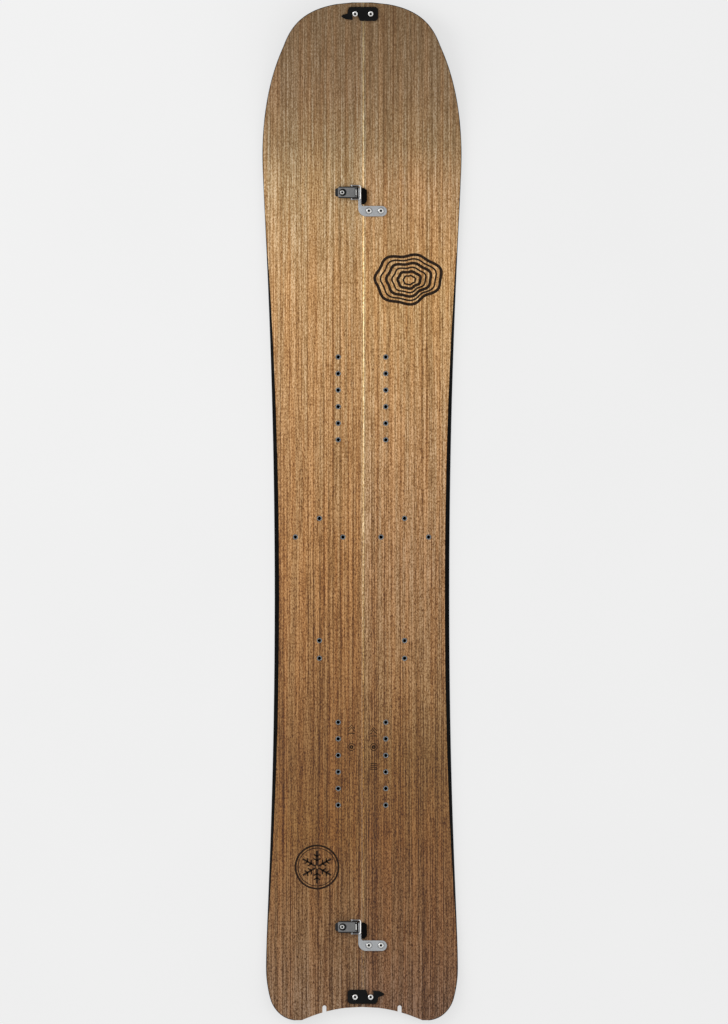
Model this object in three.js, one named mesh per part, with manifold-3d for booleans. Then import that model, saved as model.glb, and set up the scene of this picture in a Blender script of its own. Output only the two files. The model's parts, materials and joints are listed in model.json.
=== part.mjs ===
// Splitboard: a snowboard in two halves, joined by a hook at each tip and two draw latches.
// Millimetres. X runs across the board, +Y to the nose, +Z up. The board lies on its base.
import * as THREE from "three";
import { mergeVertices } from "three/addons/utils/BufferGeometryUtils.js";
import Module from "manifold-3d";

const wasm = await Module();
wasm.setup();

// ---- Driving dimensions ----
const TIP_Y = 780; // half of the overall length
const NOSE_APEX = TIP_Y + 0.4; // the nose curve's crown, trimmed flat at TIP_Y
const NOSE_WIDTH = 152.8; // half widths
const WAIST_WIDTH = 134;
const TAIL_WIDTH = 147.2;
const LOBE_INNER_X = 94; // the tail lobe's flat tip
const LOBE_OUTER_X = 102;
const SWALLOW_Y = -759.5; // the swallow tail's deepest point
const SEAM = 0.3; // each half stops this far from the middle plane

const NOSE_CONTACT_Y = 515; // the base is flat between the contact lines
const NOSE_STRAIGHT_Y = 715; // the nose bends up to here, then runs straight
const NOSE_RADIUS = 750;
const TAIL_CONTACT_Y = -672;
const TAIL_STRAIGHT_Y = -700;
const TAIL_RADIUS = 240;

const GAP = 0.05; // the bond line between two layers
const EDGE_WIDTH = 2;
const EDGE_HEIGHT = 1.9;
const BASE_THICKNESS = 1.35;
const EDGE_WRAP_Y = TIP_Y - EDGE_WIDTH - 0.5; // the edge is solid across the nose down to here
const BASE_FRONT_Y = EDGE_WRAP_Y - 0.5;
const BASE_BACK_Y = -TIP_Y + EDGE_WIDTH + 0.6;
const CORE_BOTTOM = EDGE_HEIGHT + GAP;
const CORE_THICKNESS = 4.9; // between the contact lines
const NOSE_TIP_CORE = 2;
const TAIL_TIP_CORE = 2.4;
const LAMINATE = 0.55;
const TOPSHEET = 0.6;
const CORE_FRONT_Y = 600; // spacers fill the tips beyond the core
const CORE_BACK_Y = -700;
const SIDEWALL_WIDTH = 9;
const INNER_SIDEWALL_WIDTH = 2.9;
const BEVEL_WIDTH = 6; // how far the sidewall leans in at the waist
const BEVEL_CENTRE_Y = -120;
const BEVEL_REACH = 530;
const TOP_TRIM = 0.3; // the topsheet's trim behind the outline

const PITCH = 25.4; // threaded inserts
const INSERT_SIDES = 8;
const INSERT_RADIUS = 3.9;
const INSERT_BORE = 2.5;
const INSERT_FLANGE = 1.2;
const INSERT_SLACK = 0.3;
const BINDING_X = 36.5;
const FRONT_ROW_Y = 110.1;
const REAR_ROW_Y = -450;
const ROW_COUNT = 6;
const TOURING_POINTS = [[65.3, -10.4], [29.2, -39], [102.1, -39]];
const RISER_POINTS = [[65.3, -197.8], [65.3, -224.9]];

const SKIN_NOTCH = { x: 57.6, radius: 3, top: -757 };
const LATCH_Y = { front: 489.4, rear: -636.8 };
const HOOK_Y = { tip: 763.5, tail: -744.6 };
const HOOK_PIVOT_X = 13.3;
const HOOK_SPAN = 23.9; // pivot to post

// ---- Curves and profiles ----
const spread = (from, to, count, ease) =>
  Array.from({ length: count }, (_, i) => from + (to - from) * ease(i / count));
const even = (t) => t;
const slowStart = (t) => t * t;
const slowEnd = (t) => 1 - (1 - t) * (1 - t);

// The y positions where every layer has a section, from nose to tail.
const STATIONS = [
  TIP_Y,
  EDGE_WRAP_Y,
  ...spread(BASE_FRONT_Y, NOSE_STRAIGHT_Y, 7, slowStart),
  ...spread(NOSE_STRAIGHT_Y, NOSE_CONTACT_Y, 6, even),
  ...spread(NOSE_CONTACT_Y, TAIL_CONTACT_Y, 8, even),
  TAIL_CONTACT_Y,
  ...spread(TAIL_STRAIGHT_Y, SWALLOW_Y, 3, even),
  ...spread(SWALLOW_Y, BASE_BACK_Y, 4, slowEnd),
  BASE_BACK_Y,
  -TIP_Y,
];

function bezier(...points) {
  const [a, b, c, d] = points.map(([x, y]) => new THREE.Vector2(x, y));
  return new THREE.CubicBezierCurve(a, b, c, d).getPoints(40);
}

// The outer side of the right half, from the nose's crown to the tail lobe.
const OUTER = [
  ...bezier([0, NOSE_APEX], [92, NOSE_APEX], [110.1, 739.8], [120, 714.4]),
  ...bezier([120, 714.4], [124.5, 702.8], [NOSE_WIDTH, 649.3], [NOSE_WIDTH, 545]),
  ...bezier([NOSE_WIDTH, 545], [NOSE_WIDTH, 489], [WAIST_WIDTH, 249], [WAIST_WIDTH, -130]),
  ...bezier([WAIST_WIDTH, -130], [WAIST_WIDTH, -457], [TAIL_WIDTH, -624], [TAIL_WIDTH, -700]),
  ...bezier([TAIL_WIDTH, -700], [TAIL_WIDTH, -720], [143.4, -737], [140.6, -747.5]),
  ...bezier([140.6, -747.5], [136, -763], [122.5, -778.5], [LOBE_OUTER_X, -TIP_Y]),
];

// The inner side: the seam, then the swallow tail's curve out to the lobe.
const INNER = [
  new THREE.Vector2(SEAM, NOSE_APEX),
  ...bezier([SEAM, SWALLOW_Y], [54.7, SWALLOW_Y], [90, -TIP_Y], [LOBE_INNER_X, -TIP_Y]),
];

// A curve moved sideways, towards its left as it runs.
function offset(curve, distance) {
  return curve.map((point, i) => {
    const before = curve[Math.max(i - 1, 0)];
    const after = curve[Math.min(i + 1, curve.length - 1)];
    const along = after.clone().sub(before).normalize();
    return new THREE.Vector2(point.x + along.y * distance, point.y - along.x * distance);
  });
}

// A curve's x at a height y, where y falls all the way along it.
function xAt(curve, y) {
  if (y >= curve[0].y) return curve[0].x;
  for (let i = 1; i < curve.length; i += 1) {
    const a = curve[i - 1];
    const b = curve[i];
    if (b.y <= y && a.y - b.y > 1e-9) {
      return a.x + ((b.x - a.x) * (a.y - y)) / (a.y - b.y);
    }
  }
  return curve[curve.length - 1].x;
}

const outline = (inset) => {
  const curve = offset(OUTER, inset);
  return (y) => Math.max(xAt(curve, y), SEAM + 1.5);
};
const swallow = (inset) => {
  const curve = offset(INNER, -inset);
  return (y) => xAt(curve, y);
};

// Height of the base's underside above the floor.
function riseExact(y) {
  const bend = (distance, straight, radius) => {
    const bent = Math.min(distance, straight);
    return (bent * bent) / (2 * radius) + (distance - bent) * (straight / radius);
  };
  if (y > NOSE_CONTACT_Y) {
    return bend(y - NOSE_CONTACT_Y, NOSE_STRAIGHT_Y - NOSE_CONTACT_Y, NOSE_RADIUS);
  }
  if (y < TAIL_CONTACT_Y) {
    return bend(TAIL_CONTACT_Y - y, TAIL_CONTACT_Y - TAIL_STRAIGHT_Y, TAIL_RADIUS);
  }
  return 0;
}

// The rise between two stations is straight, so layers that share it stay parallel.
function rise(y) {
  const next = Math.max(STATIONS.findIndex((station) => station <= y), 1);
  const a = STATIONS[next - 1];
  const b = STATIONS[next];
  return riseExact(a) + ((riseExact(b) - riseExact(a)) * (a - y)) / (a - b);
}

// The core thins in a straight line beyond the contact lines.
function core(y) {
  if (y > NOSE_CONTACT_Y) {
    const share = (y - NOSE_CONTACT_Y) / (TIP_Y - NOSE_CONTACT_Y);
    return CORE_THICKNESS + (NOSE_TIP_CORE - CORE_THICKNESS) * share;
  }
  if (y < TAIL_STRAIGHT_Y) {
    const share = (TAIL_STRAIGHT_Y - y) / (TIP_Y + TAIL_STRAIGHT_Y);
    return CORE_THICKNESS + (TAIL_TIP_CORE - CORE_THICKNESS) * share;
  }
  return CORE_THICKNESS;
}

const laminateBottom = (y) => CORE_BOTTOM + core(y) + GAP;
const topsheetBottom = (y) => laminateBottom(y) + LAMINATE + GAP;
const topOf = (y) => rise(y) + topsheetBottom(y) + TOPSHEET;

function bevel(y) {
  const share = (y - BEVEL_CENTRE_Y) / BEVEL_REACH;
  return BEVEL_WIDTH * Math.max(0, 1 - share * share) ** 0.8;
}

// ---- Solids ----
function manifoldOf(geometry) {
  const bare = geometry.clone();
  bare.deleteAttribute("normal");
  bare.deleteAttribute("uv");
  const merged = mergeVertices(bare, 1e-4);
  return new wasm.Manifold(
    new wasm.Mesh({
      numProp: 3,
      vertProperties: new Float32Array(merged.attributes.position.array),
      triVerts: new Uint32Array(merged.index.array),
    }),
  );
}

function geometryOf(solid) {
  const mesh = solid.getMesh();
  const geometry = new THREE.BufferGeometry();
  geometry.setAttribute("position", new THREE.BufferAttribute(mesh.vertProperties, 3));
  geometry.setIndex(new THREE.BufferAttribute(mesh.triVerts, 1));
  return geometry;
}

const join = (...pieces) =>
  geometryOf(pieces.map(manifoldOf).reduce((all, piece) => all.add(piece)));
const cut = (body, ...tools) =>
  geometryOf(tools.map(manifoldOf).reduce((left, tool) => left.subtract(tool), manifoldOf(body)));

// A prism of a plan shape between two heights.
function slab(shape, bottom, top) {
  const settings = { depth: top - bottom, bevelEnabled: false, curveSegments: 4 };
  return new THREE.ExtrudeGeometry(shape, settings).translate(0, 0, bottom);
}

// A prism of a side shape (x, z) between two y values.
function cheek(shape, back, front) {
  return slab(shape, 0, front - back).rotateX(Math.PI / 2).translate(0, front, 0);
}

const box = (x0, x1, y0, y1, z0, z1) =>
  new THREE.BoxGeometry(x1 - x0, y1 - y0, z1 - z0)
    .translate((x0 + x1) / 2, (y0 + y1) / 2, (z0 + z1) / 2);

const rod = (radius, x, y, bottom, top, sides = INSERT_SIDES) =>
  new THREE.CylinderGeometry(radius, radius, top - bottom, sides)
    .rotateX(Math.PI / 2)
    .translate(x, y, (bottom + top) / 2);

const crossRod = (radius, x, z, halfLength) =>
  new THREE.CylinderGeometry(radius, radius, 2 * halfLength, 8).translate(x, 0, z);

// A closed strip along one half. section(y) gives its corners: inner and outer low, outer and
// inner high. side is 1 for the right half and -1 for the left.
function strip(side, front, back, section) {
  const inside = STATIONS.filter((y) => y < front - 0.5 && y > back + 0.5);
  const ys = [front, ...inside, back];
  const positions = ys.flatMap((y) =>
    section(y).flatMap(([x, z]) => [x * side, y, z + rise(y)]));
  const index = [0, 2, 1, 0, 3, 2];
  for (let row = 0; row < ys.length - 1; row += 1) {
    const a = row * 4;
    for (let k = 0; k < 4; k += 1) {
      const next = (k + 1) % 4;
      index.push(a + k, a + next, a + 4 + next, a + k, a + 4 + next, a + 4 + k);
    }
  }
  const last = (ys.length - 1) * 4;
  index.push(last, last + 1, last + 2, last, last + 2, last + 3);
  const geometry = new THREE.BufferGeometry();
  geometry.setAttribute("position", new THREE.Float32BufferAttribute(positions, 3));
  geometry.setIndex(side > 0 ? index : index.reverse());
  return geometry;
}

const layer = (side, front, back, inner, outer, bottom, top) =>
  strip(side, front, back, (y) => [
    [inner(y), bottom(y)],
    [outer(y), bottom(y)],
    [outer(y), top(y)],
    [inner(y), top(y)],
  ]);

// ---- Materials ----
const paint = (color, roughness, metalness = 0) =>
  new THREE.MeshStandardMaterial({ color, roughness, metalness, flatShading: true });
const MATERIAL = {
  veneer: paint(0x9d7348, 0.45),
  glass: paint(0xb9b48f, 0.6),
  wood: paint(0xc9a878, 0.7),
  plastic: paint(0x141416, 0.5),
  sintered: paint(0x1d1e20, 0.4),
  edgeSteel: paint(0x8d9094, 0.35, 1),
  steel: paint(0xb9bcc0, 0.3, 1),
  aluminium: paint(0xc6c9cc, 0.35, 1),
  lever: paint(0x3d4044, 0.45, 0.6),
  hook: paint(0x17181a, 0.5),
};

const board = new THREE.Group();
function addMesh(parent, name, geometry, material) {
  const mesh = new THREE.Mesh(geometry, material);
  mesh.name = name;
  parent.add(mesh);
  return mesh;
}

// ---- Tools that cut the layers ----
function skinNotch(side) {
  const { x, radius, top } = SKIN_NOTCH;
  const centre = top - radius;
  return join(
    box(side * x - radius, side * x + radius, centre - 40, centre, -5, 60),
    rod(radius, side * x, centre, -5, 60),
  );
}

// Hooks stand square to the straight stretch of the nose or tail.
function slopeAt(y) {
  return Math.atan((topOf(y + 5) - topOf(y - 5)) / 10);
}

function hookFrame(end) {
  const y = HOOK_Y[end];
  const frame = new THREE.Group();
  frame.position.set(end === "tip" ? HOOK_PIVOT_X : HOOK_SPAN - HOOK_PIVOT_X, y, topOf(y));
  if (end === "tail") frame.position.x *= -1;
  frame.rotation.set(slopeAt(y), 0, end === "tip" ? 0 : Math.PI, "XYZ");
  frame.updateMatrix();
  return frame;
}

const hookHoles = (end) =>
  [0, -HOOK_SPAN].map((x) => rod(2.2, x, 0, -4.5, 3).applyMatrix4(hookFrame(end).matrix));

const FLAT_TOP = topOf(0);
const LATCH_SCREWS = {
  base: [-30.2, 0],
  bracketInner: [10.6, -28.2],
  bracketOuter: [29.1, -28.2],
};
const LATCH_SCREW_DEPTH = 5;

function latchHoles() {
  return Object.values(LATCH_Y).flatMap((y) =>
    Object.values(LATCH_SCREWS).map(([x, down]) =>
      rod(2.1, x, y + down, FLAT_TOP - LATCH_SCREW_DEPTH - 0.4, FLAT_TOP + 2)));
}

// ---- Threaded inserts: barrels on flange bars, let into slots in the core ----
const rowPoints = (side, y) =>
  Array.from({ length: ROW_COUNT }, (_, i) => [side * BINDING_X, y + i * PITCH]);
const sided = (side, points) => points.map(([x, y]) => [side * x, y]);

// Each set's barrels, and the straight bars that join them.
function insertSets(side) {
  const front = rowPoints(side, FRONT_ROW_Y);
  const rear = rowPoints(side, REAR_ROW_Y);
  const touring = sided(side, TOURING_POINTS);
  const riser = sided(side, RISER_POINTS);
  const [apex, inner, outer] = touring;
  return {
    front_binding_inserts: { points: front, bars: [[front[0], front[ROW_COUNT - 1]]] },
    rear_binding_inserts: { points: rear, bars: [[rear[0], rear[ROW_COUNT - 1]]] },
    touring_inserts: { points: touring, bars: [[inner, outer], [apex, [apex[0], inner[1]]]] },
    riser_inserts: { points: riser, bars: [riser] },
  };
}

function bar([[ax, ay], [bx, by]], margin, bottom, top) {
  const low = [Math.min(ax, bx) - margin, Math.min(ay, by) - margin];
  const high = [Math.max(ax, bx) + margin, Math.max(ay, by) + margin];
  return box(low[0], high[0], low[1], high[1], bottom, top);
}

function insertRow({ points, bars }) {
  const bottom = CORE_BOTTOM + GAP;
  const flangeTop = bottom + INSERT_FLANGE;
  const flanges = bars.map((ends) => bar(ends, INSERT_RADIUS + 1, bottom, flangeTop));
  const barrels = points.map(([x, y]) => rod(INSERT_RADIUS, x, y, bottom, FLAT_TOP - 0.1));
  const bores = points.map(([x, y]) => rod(INSERT_BORE, x, y, flangeTop, FLAT_TOP + 1));
  return cut(join(...flanges, ...barrels), ...bores);
}

const insertSlots = ({ bars }) =>
  bars.map((ends) => bar(ends, INSERT_RADIUS + 1 + INSERT_SLACK, CORE_BOTTOM - 1, FLAT_TOP - TOPSHEET));

const insertHoles = ({ points }) =>
  points.map(([x, y]) =>
    rod(INSERT_RADIUS + INSERT_SLACK, x, y, FLAT_TOP - 2 * TOPSHEET, FLAT_TOP + 1));

// ---- One half of the board ----
function buildHalf(side) {
  const name = side > 0 ? "right" : "left";
  const add = (piece, geometry, material) =>
    addMesh(board, name + "_" + piece, geometry, material);
  const notch = skinNotch(side);
  const sets = insertSets(side);
  const holes = Object.values(sets).flatMap(insertHoles);
  const slots = Object.values(sets).flatMap(insertSlots);
  const fittings = [...hookHoles("tip"), ...hookHoles("tail"), ...latchHoles()];
  const seam = () => SEAM;
  const at = (height) => () => height;
  const coreTop = (y) => CORE_BOTTOM + core(y);

  const innerEdge = SEAM + EDGE_WIDTH;
  const pastEdge = (y) => Math.max(innerEdge + 0.1, swallow(0.4)(y));
  add("outer_edge",
    layer(side, TIP_Y, -TIP_Y,
      (y) => (y >= EDGE_WRAP_Y ? SEAM : Math.min(outline(EDGE_WIDTH)(y), outline(0)(y) - 1)),
      outline(0), at(0), at(EDGE_HEIGHT)),
    MATERIAL.edgeSteel);
  add("inner_edge",
    layer(side, BASE_FRONT_Y - 0.8, SWALLOW_Y + 1, seam, at(innerEdge), at(0), at(EDGE_HEIGHT)),
    MATERIAL.edgeSteel);

  const insideEdge = outline(EDGE_WIDTH + 0.15);
  const baseOuter = (y) => Math.max(insideEdge(y), pastEdge(y) + 1);
  add("base",
    cut(layer(side, BASE_FRONT_Y, BASE_BACK_Y, pastEdge, baseOuter,
      at(0), at(BASE_THICKNESS)), notch),
    MATERIAL.sintered);
  add("lower_laminate",
    cut(layer(side, BASE_FRONT_Y, BASE_BACK_Y, pastEdge, baseOuter,
      at(BASE_THICKNESS + GAP), at(EDGE_HEIGHT)), notch),
    MATERIAL.glass);

  const coreInner = SEAM + INNER_SIDEWALL_WIDTH + 0.1;
  add("core",
    cut(layer(side, CORE_FRONT_Y, CORE_BACK_Y, at(coreInner),
      (y) => outline(0)(y) - SIDEWALL_WIDTH - 0.1, at(CORE_BOTTOM), coreTop),
    ...slots, ...latchHoles()),
    MATERIAL.wood);
  add("inner_sidewall",
    layer(side, CORE_FRONT_Y, CORE_BACK_Y, seam, at(SEAM + INNER_SIDEWALL_WIDTH),
      at(CORE_BOTTOM), coreTop),
    MATERIAL.plastic);
  add("outer_sidewall",
    strip(side, CORE_FRONT_Y, CORE_BACK_Y, (y) => {
      const outer = outline(0)(y);
      return [
        [outer - SIDEWALL_WIDTH, CORE_BOTTOM],
        [outer - TOP_TRIM, CORE_BOTTOM],
        [outer - TOP_TRIM - bevel(y), coreTop(y)],
        [outer - SIDEWALL_WIDTH, coreTop(y)],
      ];
    }),
    MATERIAL.plastic);

  const trimmed = outline(TOP_TRIM);
  const trimmedInner = swallow(0.2);
  const tipFront = TIP_Y - TOP_TRIM;
  const tipBack = -TIP_Y + TOP_TRIM;
  add("nose_spacer",
    cut(layer(side, tipFront, CORE_FRONT_Y + 0.2, seam, trimmed, at(CORE_BOTTOM), coreTop),
      ...hookHoles("tip")),
    MATERIAL.plastic);
  add("tail_spacer",
    cut(layer(side, CORE_BACK_Y - 0.2, tipBack, trimmedInner, trimmed, at(CORE_BOTTOM), coreTop),
      notch, ...hookHoles("tail")),
    MATERIAL.plastic);

  const beveled = (y) => trimmed(y) - bevel(y);
  add("upper_laminate",
    cut(layer(side, tipFront, tipBack, trimmedInner, beveled, laminateBottom,
      (y) => laminateBottom(y) + LAMINATE), notch, ...slots, ...fittings),
    MATERIAL.glass);
  add("topsheet",
    cut(layer(side, tipFront, tipBack, trimmedInner, beveled, topsheetBottom,
      (y) => topsheetBottom(y) + TOPSHEET), notch, ...holes, ...fittings),
    MATERIAL.veneer);

  for (const [set, layout] of Object.entries(sets)) {
    add(set, insertRow(layout), MATERIAL.steel);
  }
}

// ---- Button-head screws with a socket. The origin is under the head ----
function screw(depth, headRadius) {
  const shank = 1.5;
  const height = headRadius / 2;
  const profile = [
    [0, -depth],
    [shank, -depth],
    [shank, 0],
    [headRadius, 0],
    [headRadius, height * 0.4],
    [headRadius * 0.72, height],
    [headRadius * 0.42, height],
    [headRadius * 0.42, height * 0.35],
    [0, height * 0.35],
  ];
  const points = profile.map(([x, y]) => new THREE.Vector2(x, y));
  return new THREE.LatheGeometry(points, 8).rotateX(Math.PI / 2);
}

// ---- Tip and tail hooks. The origin is the pivot, on the topsheet ----
const HOOK = {
  bottom: 0.3,
  top: 3.3,
  left: -35.2,
  right: 11.4,
  front: 10.2,
  back: -11.6,
  corner: 5.5,
  beakTip: [-45, -4.4],
  beakBack: -10.2,
  slotLeft: -27.9,
  slotRadius: 3.5,
  mouthRight: -17.2,
};
const HOOK_HEAD = 3.7; // the screws' heads clear the hook
const HOOK_SCREW_RADIUS = 4.4;

function hookPlate() {
  const h = HOOK;
  const plate = new THREE.Shape();
  plate.moveTo(h.mouthRight, h.beakBack);
  plate.quadraticCurveTo(h.mouthRight, h.back, h.mouthRight + 3, h.back);
  plate.lineTo(h.right - h.corner, h.back);
  plate.absarc(h.right - h.corner, h.back + h.corner, h.corner, -Math.PI / 2, 0, false);
  plate.absarc(h.right - h.corner, h.front - h.corner, h.corner, 0, Math.PI / 2, false);
  plate.lineTo(h.left + h.corner, h.front);
  plate.quadraticCurveTo(h.left + 0.8, h.front, h.left, 2);
  plate.quadraticCurveTo(h.left - 0.4, -0.8, h.left - 2.5, -1);
  plate.quadraticCurveTo(-42, -1.6, ...h.beakTip);
  plate.quadraticCurveTo(-42.5, -8, h.left - 1.5, -9.2);
  plate.lineTo(h.slotLeft, h.beakBack);
  plate.lineTo(h.slotLeft, 0);
  plate.absarc(h.slotLeft + h.slotRadius, 0, h.slotRadius, Math.PI, 0, true);
  plate.closePath();
  return cut(slab(plate, h.bottom, h.top), rod(2, 0, 0, -1, h.top + 1));
}

function buildHook(end) {
  const frame = hookFrame(end);
  const add = (piece, geometry, material) =>
    addMesh(frame, end + "_hook" + piece, geometry, material);
  const depth = HOOK_HEAD + 2.8;
  add("", hookPlate(), MATERIAL.hook);
  add("_pivot_screw", screw(depth, HOOK_SCREW_RADIUS), MATERIAL.steel)
    .position.z = HOOK_HEAD;
  add("_post_screw", screw(depth, HOOK_SCREW_RADIUS), MATERIAL.steel)
    .position.set(-HOOK_SPAN, 0, HOOK_HEAD);
  const bush = cut(rod(2.5, 0, 0, 0.1, HOOK_HEAD - 0.1), rod(1.75, 0, 0, -1, HOOK_HEAD + 1));
  add("_post_bush", bush, MATERIAL.steel).position.x = -HOOK_SPAN;
  board.add(frame);
}

// ---- Draw latches. The origin is on the seam, level with the topsheet ----
const LEVER = { left: -36.8, width: 9, tabLeft: -41.2, tabWidth: 6.4, bottom: 2.2, plate: 7.2, top: 8.7 };
const LEVER_SLOT = { left: -35.2, right: -23.6, half: 5.6 }; // over the base screw
const BASE_PLATE = { left: -39.4, half: 6.5, top: 1.6 };
const HINGE = { x: -9.4, z: 4.7, ear: 2.3, axle: 1.2 };
const BAIL = { pinX: -15.6, pinZ: 4.7, barX: -2.4, barZ: 4.2, wire: 1.1, inner: 9.4, outer: 11.4 };
const BRACKET = { left: -5.6, right: 38.2, armRight: -0.9, armTop: 7, top: -20.7, bottom: -36.8 };
const BRACKET_BOTTOM = 0.2;
const BRACKET_TOP = 2.3;
const CATCH_LIP = { right: -4.2, halfWidth: 6, top: 4 };
const WEDGE = { right: 7.7, front: 6.9, top: 4.6 };

function leverShape() {
  const cheekRadius = LEVER.top - HINGE.z;
  const start = Math.PI + Math.asin((HINGE.z - LEVER.bottom) / cheekRadius);
  const side = new THREE.Shape();
  side.moveTo(LEVER.left + 4, LEVER.bottom);
  side.absarc(HINGE.x, HINGE.z, cheekRadius, start, 2.5 * Math.PI, false);
  side.lineTo(LEVER.left + 1, LEVER.top);
  side.lineTo(LEVER.left + 1, LEVER.plate - 1);
  side.closePath();
  const plate = new THREE.Shape();
  const round = 3;
  const right = HINGE.x - 1.4; // past the ears even when the lever is right over
  plate.moveTo(right, -LEVER.width);
  plate.lineTo(right, LEVER.width);
  plate.lineTo(LEVER.left, LEVER.width);
  plate.lineTo(LEVER.left, LEVER.tabWidth);
  plate.absarc(LEVER.tabLeft + round, LEVER.tabWidth - round, round, Math.PI / 2, Math.PI, false);
  plate.absarc(LEVER.tabLeft + round, round - LEVER.tabWidth, round, Math.PI, 1.5 * Math.PI, false);
  plate.lineTo(LEVER.left, -LEVER.tabWidth);
  plate.lineTo(LEVER.left, -LEVER.width);
  plate.closePath();
  const slot = new THREE.Path();
  const { left: slotLeft, right: slotRight, half } = LEVER_SLOT;
  slot.absarc(slotLeft + half, 0, half, Math.PI / 2, 1.5 * Math.PI, false);
  slot.absarc(slotRight - half, 0, half, -Math.PI / 2, Math.PI / 2, false);
  slot.closePath();
  plate.holes.push(slot);
  const body = join(
    slab(plate, LEVER.plate, LEVER.top),
    cheek(side, LEVER.width - 2, LEVER.width),
    cheek(side, -LEVER.width, 2 - LEVER.width),
  );
  return cut(body,
    crossRod(HINGE.axle + 0.25, HINGE.x, HINGE.z, 20),
    crossRod(BAIL.wire + 0.25, BAIL.pinX, BAIL.pinZ, 20));
}

function basePlate() {
  const { left, half, top } = BASE_PLATE;
  const plate = box(left, HINGE.x + 3.2, -half, half, 0.1, top);
  const ear = new THREE.Shape();
  ear.moveTo(HINGE.x - HINGE.ear, 1);
  ear.lineTo(HINGE.x + HINGE.ear, 1);
  ear.absarc(HINGE.x, HINGE.z, HINGE.ear, 0, Math.PI, false);
  ear.closePath();
  return cut(join(plate, cheek(ear, 4.6, 6.4), cheek(ear, -6.4, -4.6)),
    crossRod(HINGE.axle + 0.25, HINGE.x, HINGE.z, 20),
    rod(1.9, ...LATCH_SCREWS.base, -1, 3));
}

function bailWire() {
  const side = new THREE.Shape();
  const eye = 2.2;
  side.absarc(BAIL.pinX, BAIL.pinZ, eye, Math.PI / 2, 1.5 * Math.PI, false);
  side.absarc(BAIL.barX, BAIL.barZ, BAIL.wire, -Math.PI / 2, Math.PI / 2, false);
  side.closePath();
  return cut(
    join(
      cheek(side, BAIL.inner, BAIL.outer),
      cheek(side, -BAIL.outer, -BAIL.inner),
      crossRod(BAIL.wire, BAIL.barX, BAIL.barZ, BAIL.outer - 0.4),
    ),
    crossRod(BAIL.wire + 0.25, BAIL.pinX, BAIL.pinZ, 20),
  );
}

function catchBracket() {
  const b = BRACKET;
  const end = (b.top - b.bottom) / 2;
  const corner = 12;
  const fillet = 3;
  const plate = new THREE.Shape();
  plate.moveTo(b.left, b.armTop);
  plate.lineTo(b.left, b.bottom + corner);
  plate.absarc(b.left + corner, b.bottom + corner, corner, Math.PI, 1.5 * Math.PI, false);
  plate.absarc(b.right - end, b.bottom + end, end, -Math.PI / 2, Math.PI / 2, false);
  plate.absarc(b.armRight + fillet, b.top + fillet, fillet, -Math.PI / 2, -Math.PI, true);
  plate.lineTo(b.armRight, b.armTop);
  plate.closePath();
  const lip = box(b.left, CATCH_LIP.right, -CATCH_LIP.halfWidth, CATCH_LIP.halfWidth,
    BRACKET_TOP - 0.5, CATCH_LIP.top);
  return cut(join(slab(plate, BRACKET_BOTTOM, BRACKET_TOP), lip),
    rod(1.9, ...LATCH_SCREWS.bracketInner, -1, 3),
    rod(1.9, ...LATCH_SCREWS.bracketOuter, -1, 3));
}

// The wedge pad beside the bracket's arm, chamfered on its outer side.
function wedgePad() {
  const left = BRACKET.armRight + 0.5;
  const back = BRACKET.top + 2.8;
  const pad = new THREE.Shape();
  pad.moveTo(left, WEDGE.front);
  pad.lineTo(left, back);
  pad.lineTo(left + 3.4, back - 0.8);
  pad.lineTo(WEDGE.right, back + 4);
  pad.lineTo(WEDGE.right, WEDGE.front - 3.4);
  pad.lineTo(left + 3, WEDGE.front);
  pad.closePath();
  return slab(pad, BRACKET_BOTTOM, WEDGE.top);
}

function buildLatch(place) {
  const frame = new THREE.Group();
  frame.position.set(0, LATCH_Y[place], FLAT_TOP);
  const add = (piece, geometry, material) =>
    addMesh(frame, place + "_latch_" + piece, geometry, material);
  add("base_plate", basePlate(), MATERIAL.lever);
  add("lever_axle", crossRod(HINGE.axle, HINGE.x, HINGE.z, LEVER.width - 0.1), MATERIAL.steel);
  add("lever", leverShape(), MATERIAL.lever);
  add("bail_pin", crossRod(BAIL.wire, BAIL.pinX, BAIL.pinZ, BAIL.outer + 0.4), MATERIAL.steel);
  add("bail", bailWire(), MATERIAL.steel);
  add("bracket", catchBracket(), MATERIAL.aluminium);
  add("wedge_pad", wedgePad(), MATERIAL.plastic);
  const fix = (piece, radius, point, height) =>
    add(piece, screw(LATCH_SCREW_DEPTH + height, radius), MATERIAL.steel)
      .position.set(...point, height);
  fix("base_screw", 4, LATCH_SCREWS.base, 1.7);
  fix("bracket_inner_screw", 4.4, LATCH_SCREWS.bracketInner, BRACKET_TOP + 0.1);
  fix("bracket_outer_screw", 4.4, LATCH_SCREWS.bracketOuter, BRACKET_TOP + 0.1);
  board.add(frame);
}

buildHalf(-1);
buildHalf(1);
buildHook("tip");
buildHook("tail");
buildLatch("front");
buildLatch("rear");

export default board;
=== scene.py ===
"""Looks of a splitboard: veneer topsheets, layered halves, inserts, tip and tail hooks and latches.

Shapes are worked out in millimetres and written to the meshes in metres.
"""
import json
import math
import random
from bisect import bisect_left

import bmesh
import bpy
from mathutils import Matrix, Vector


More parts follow.
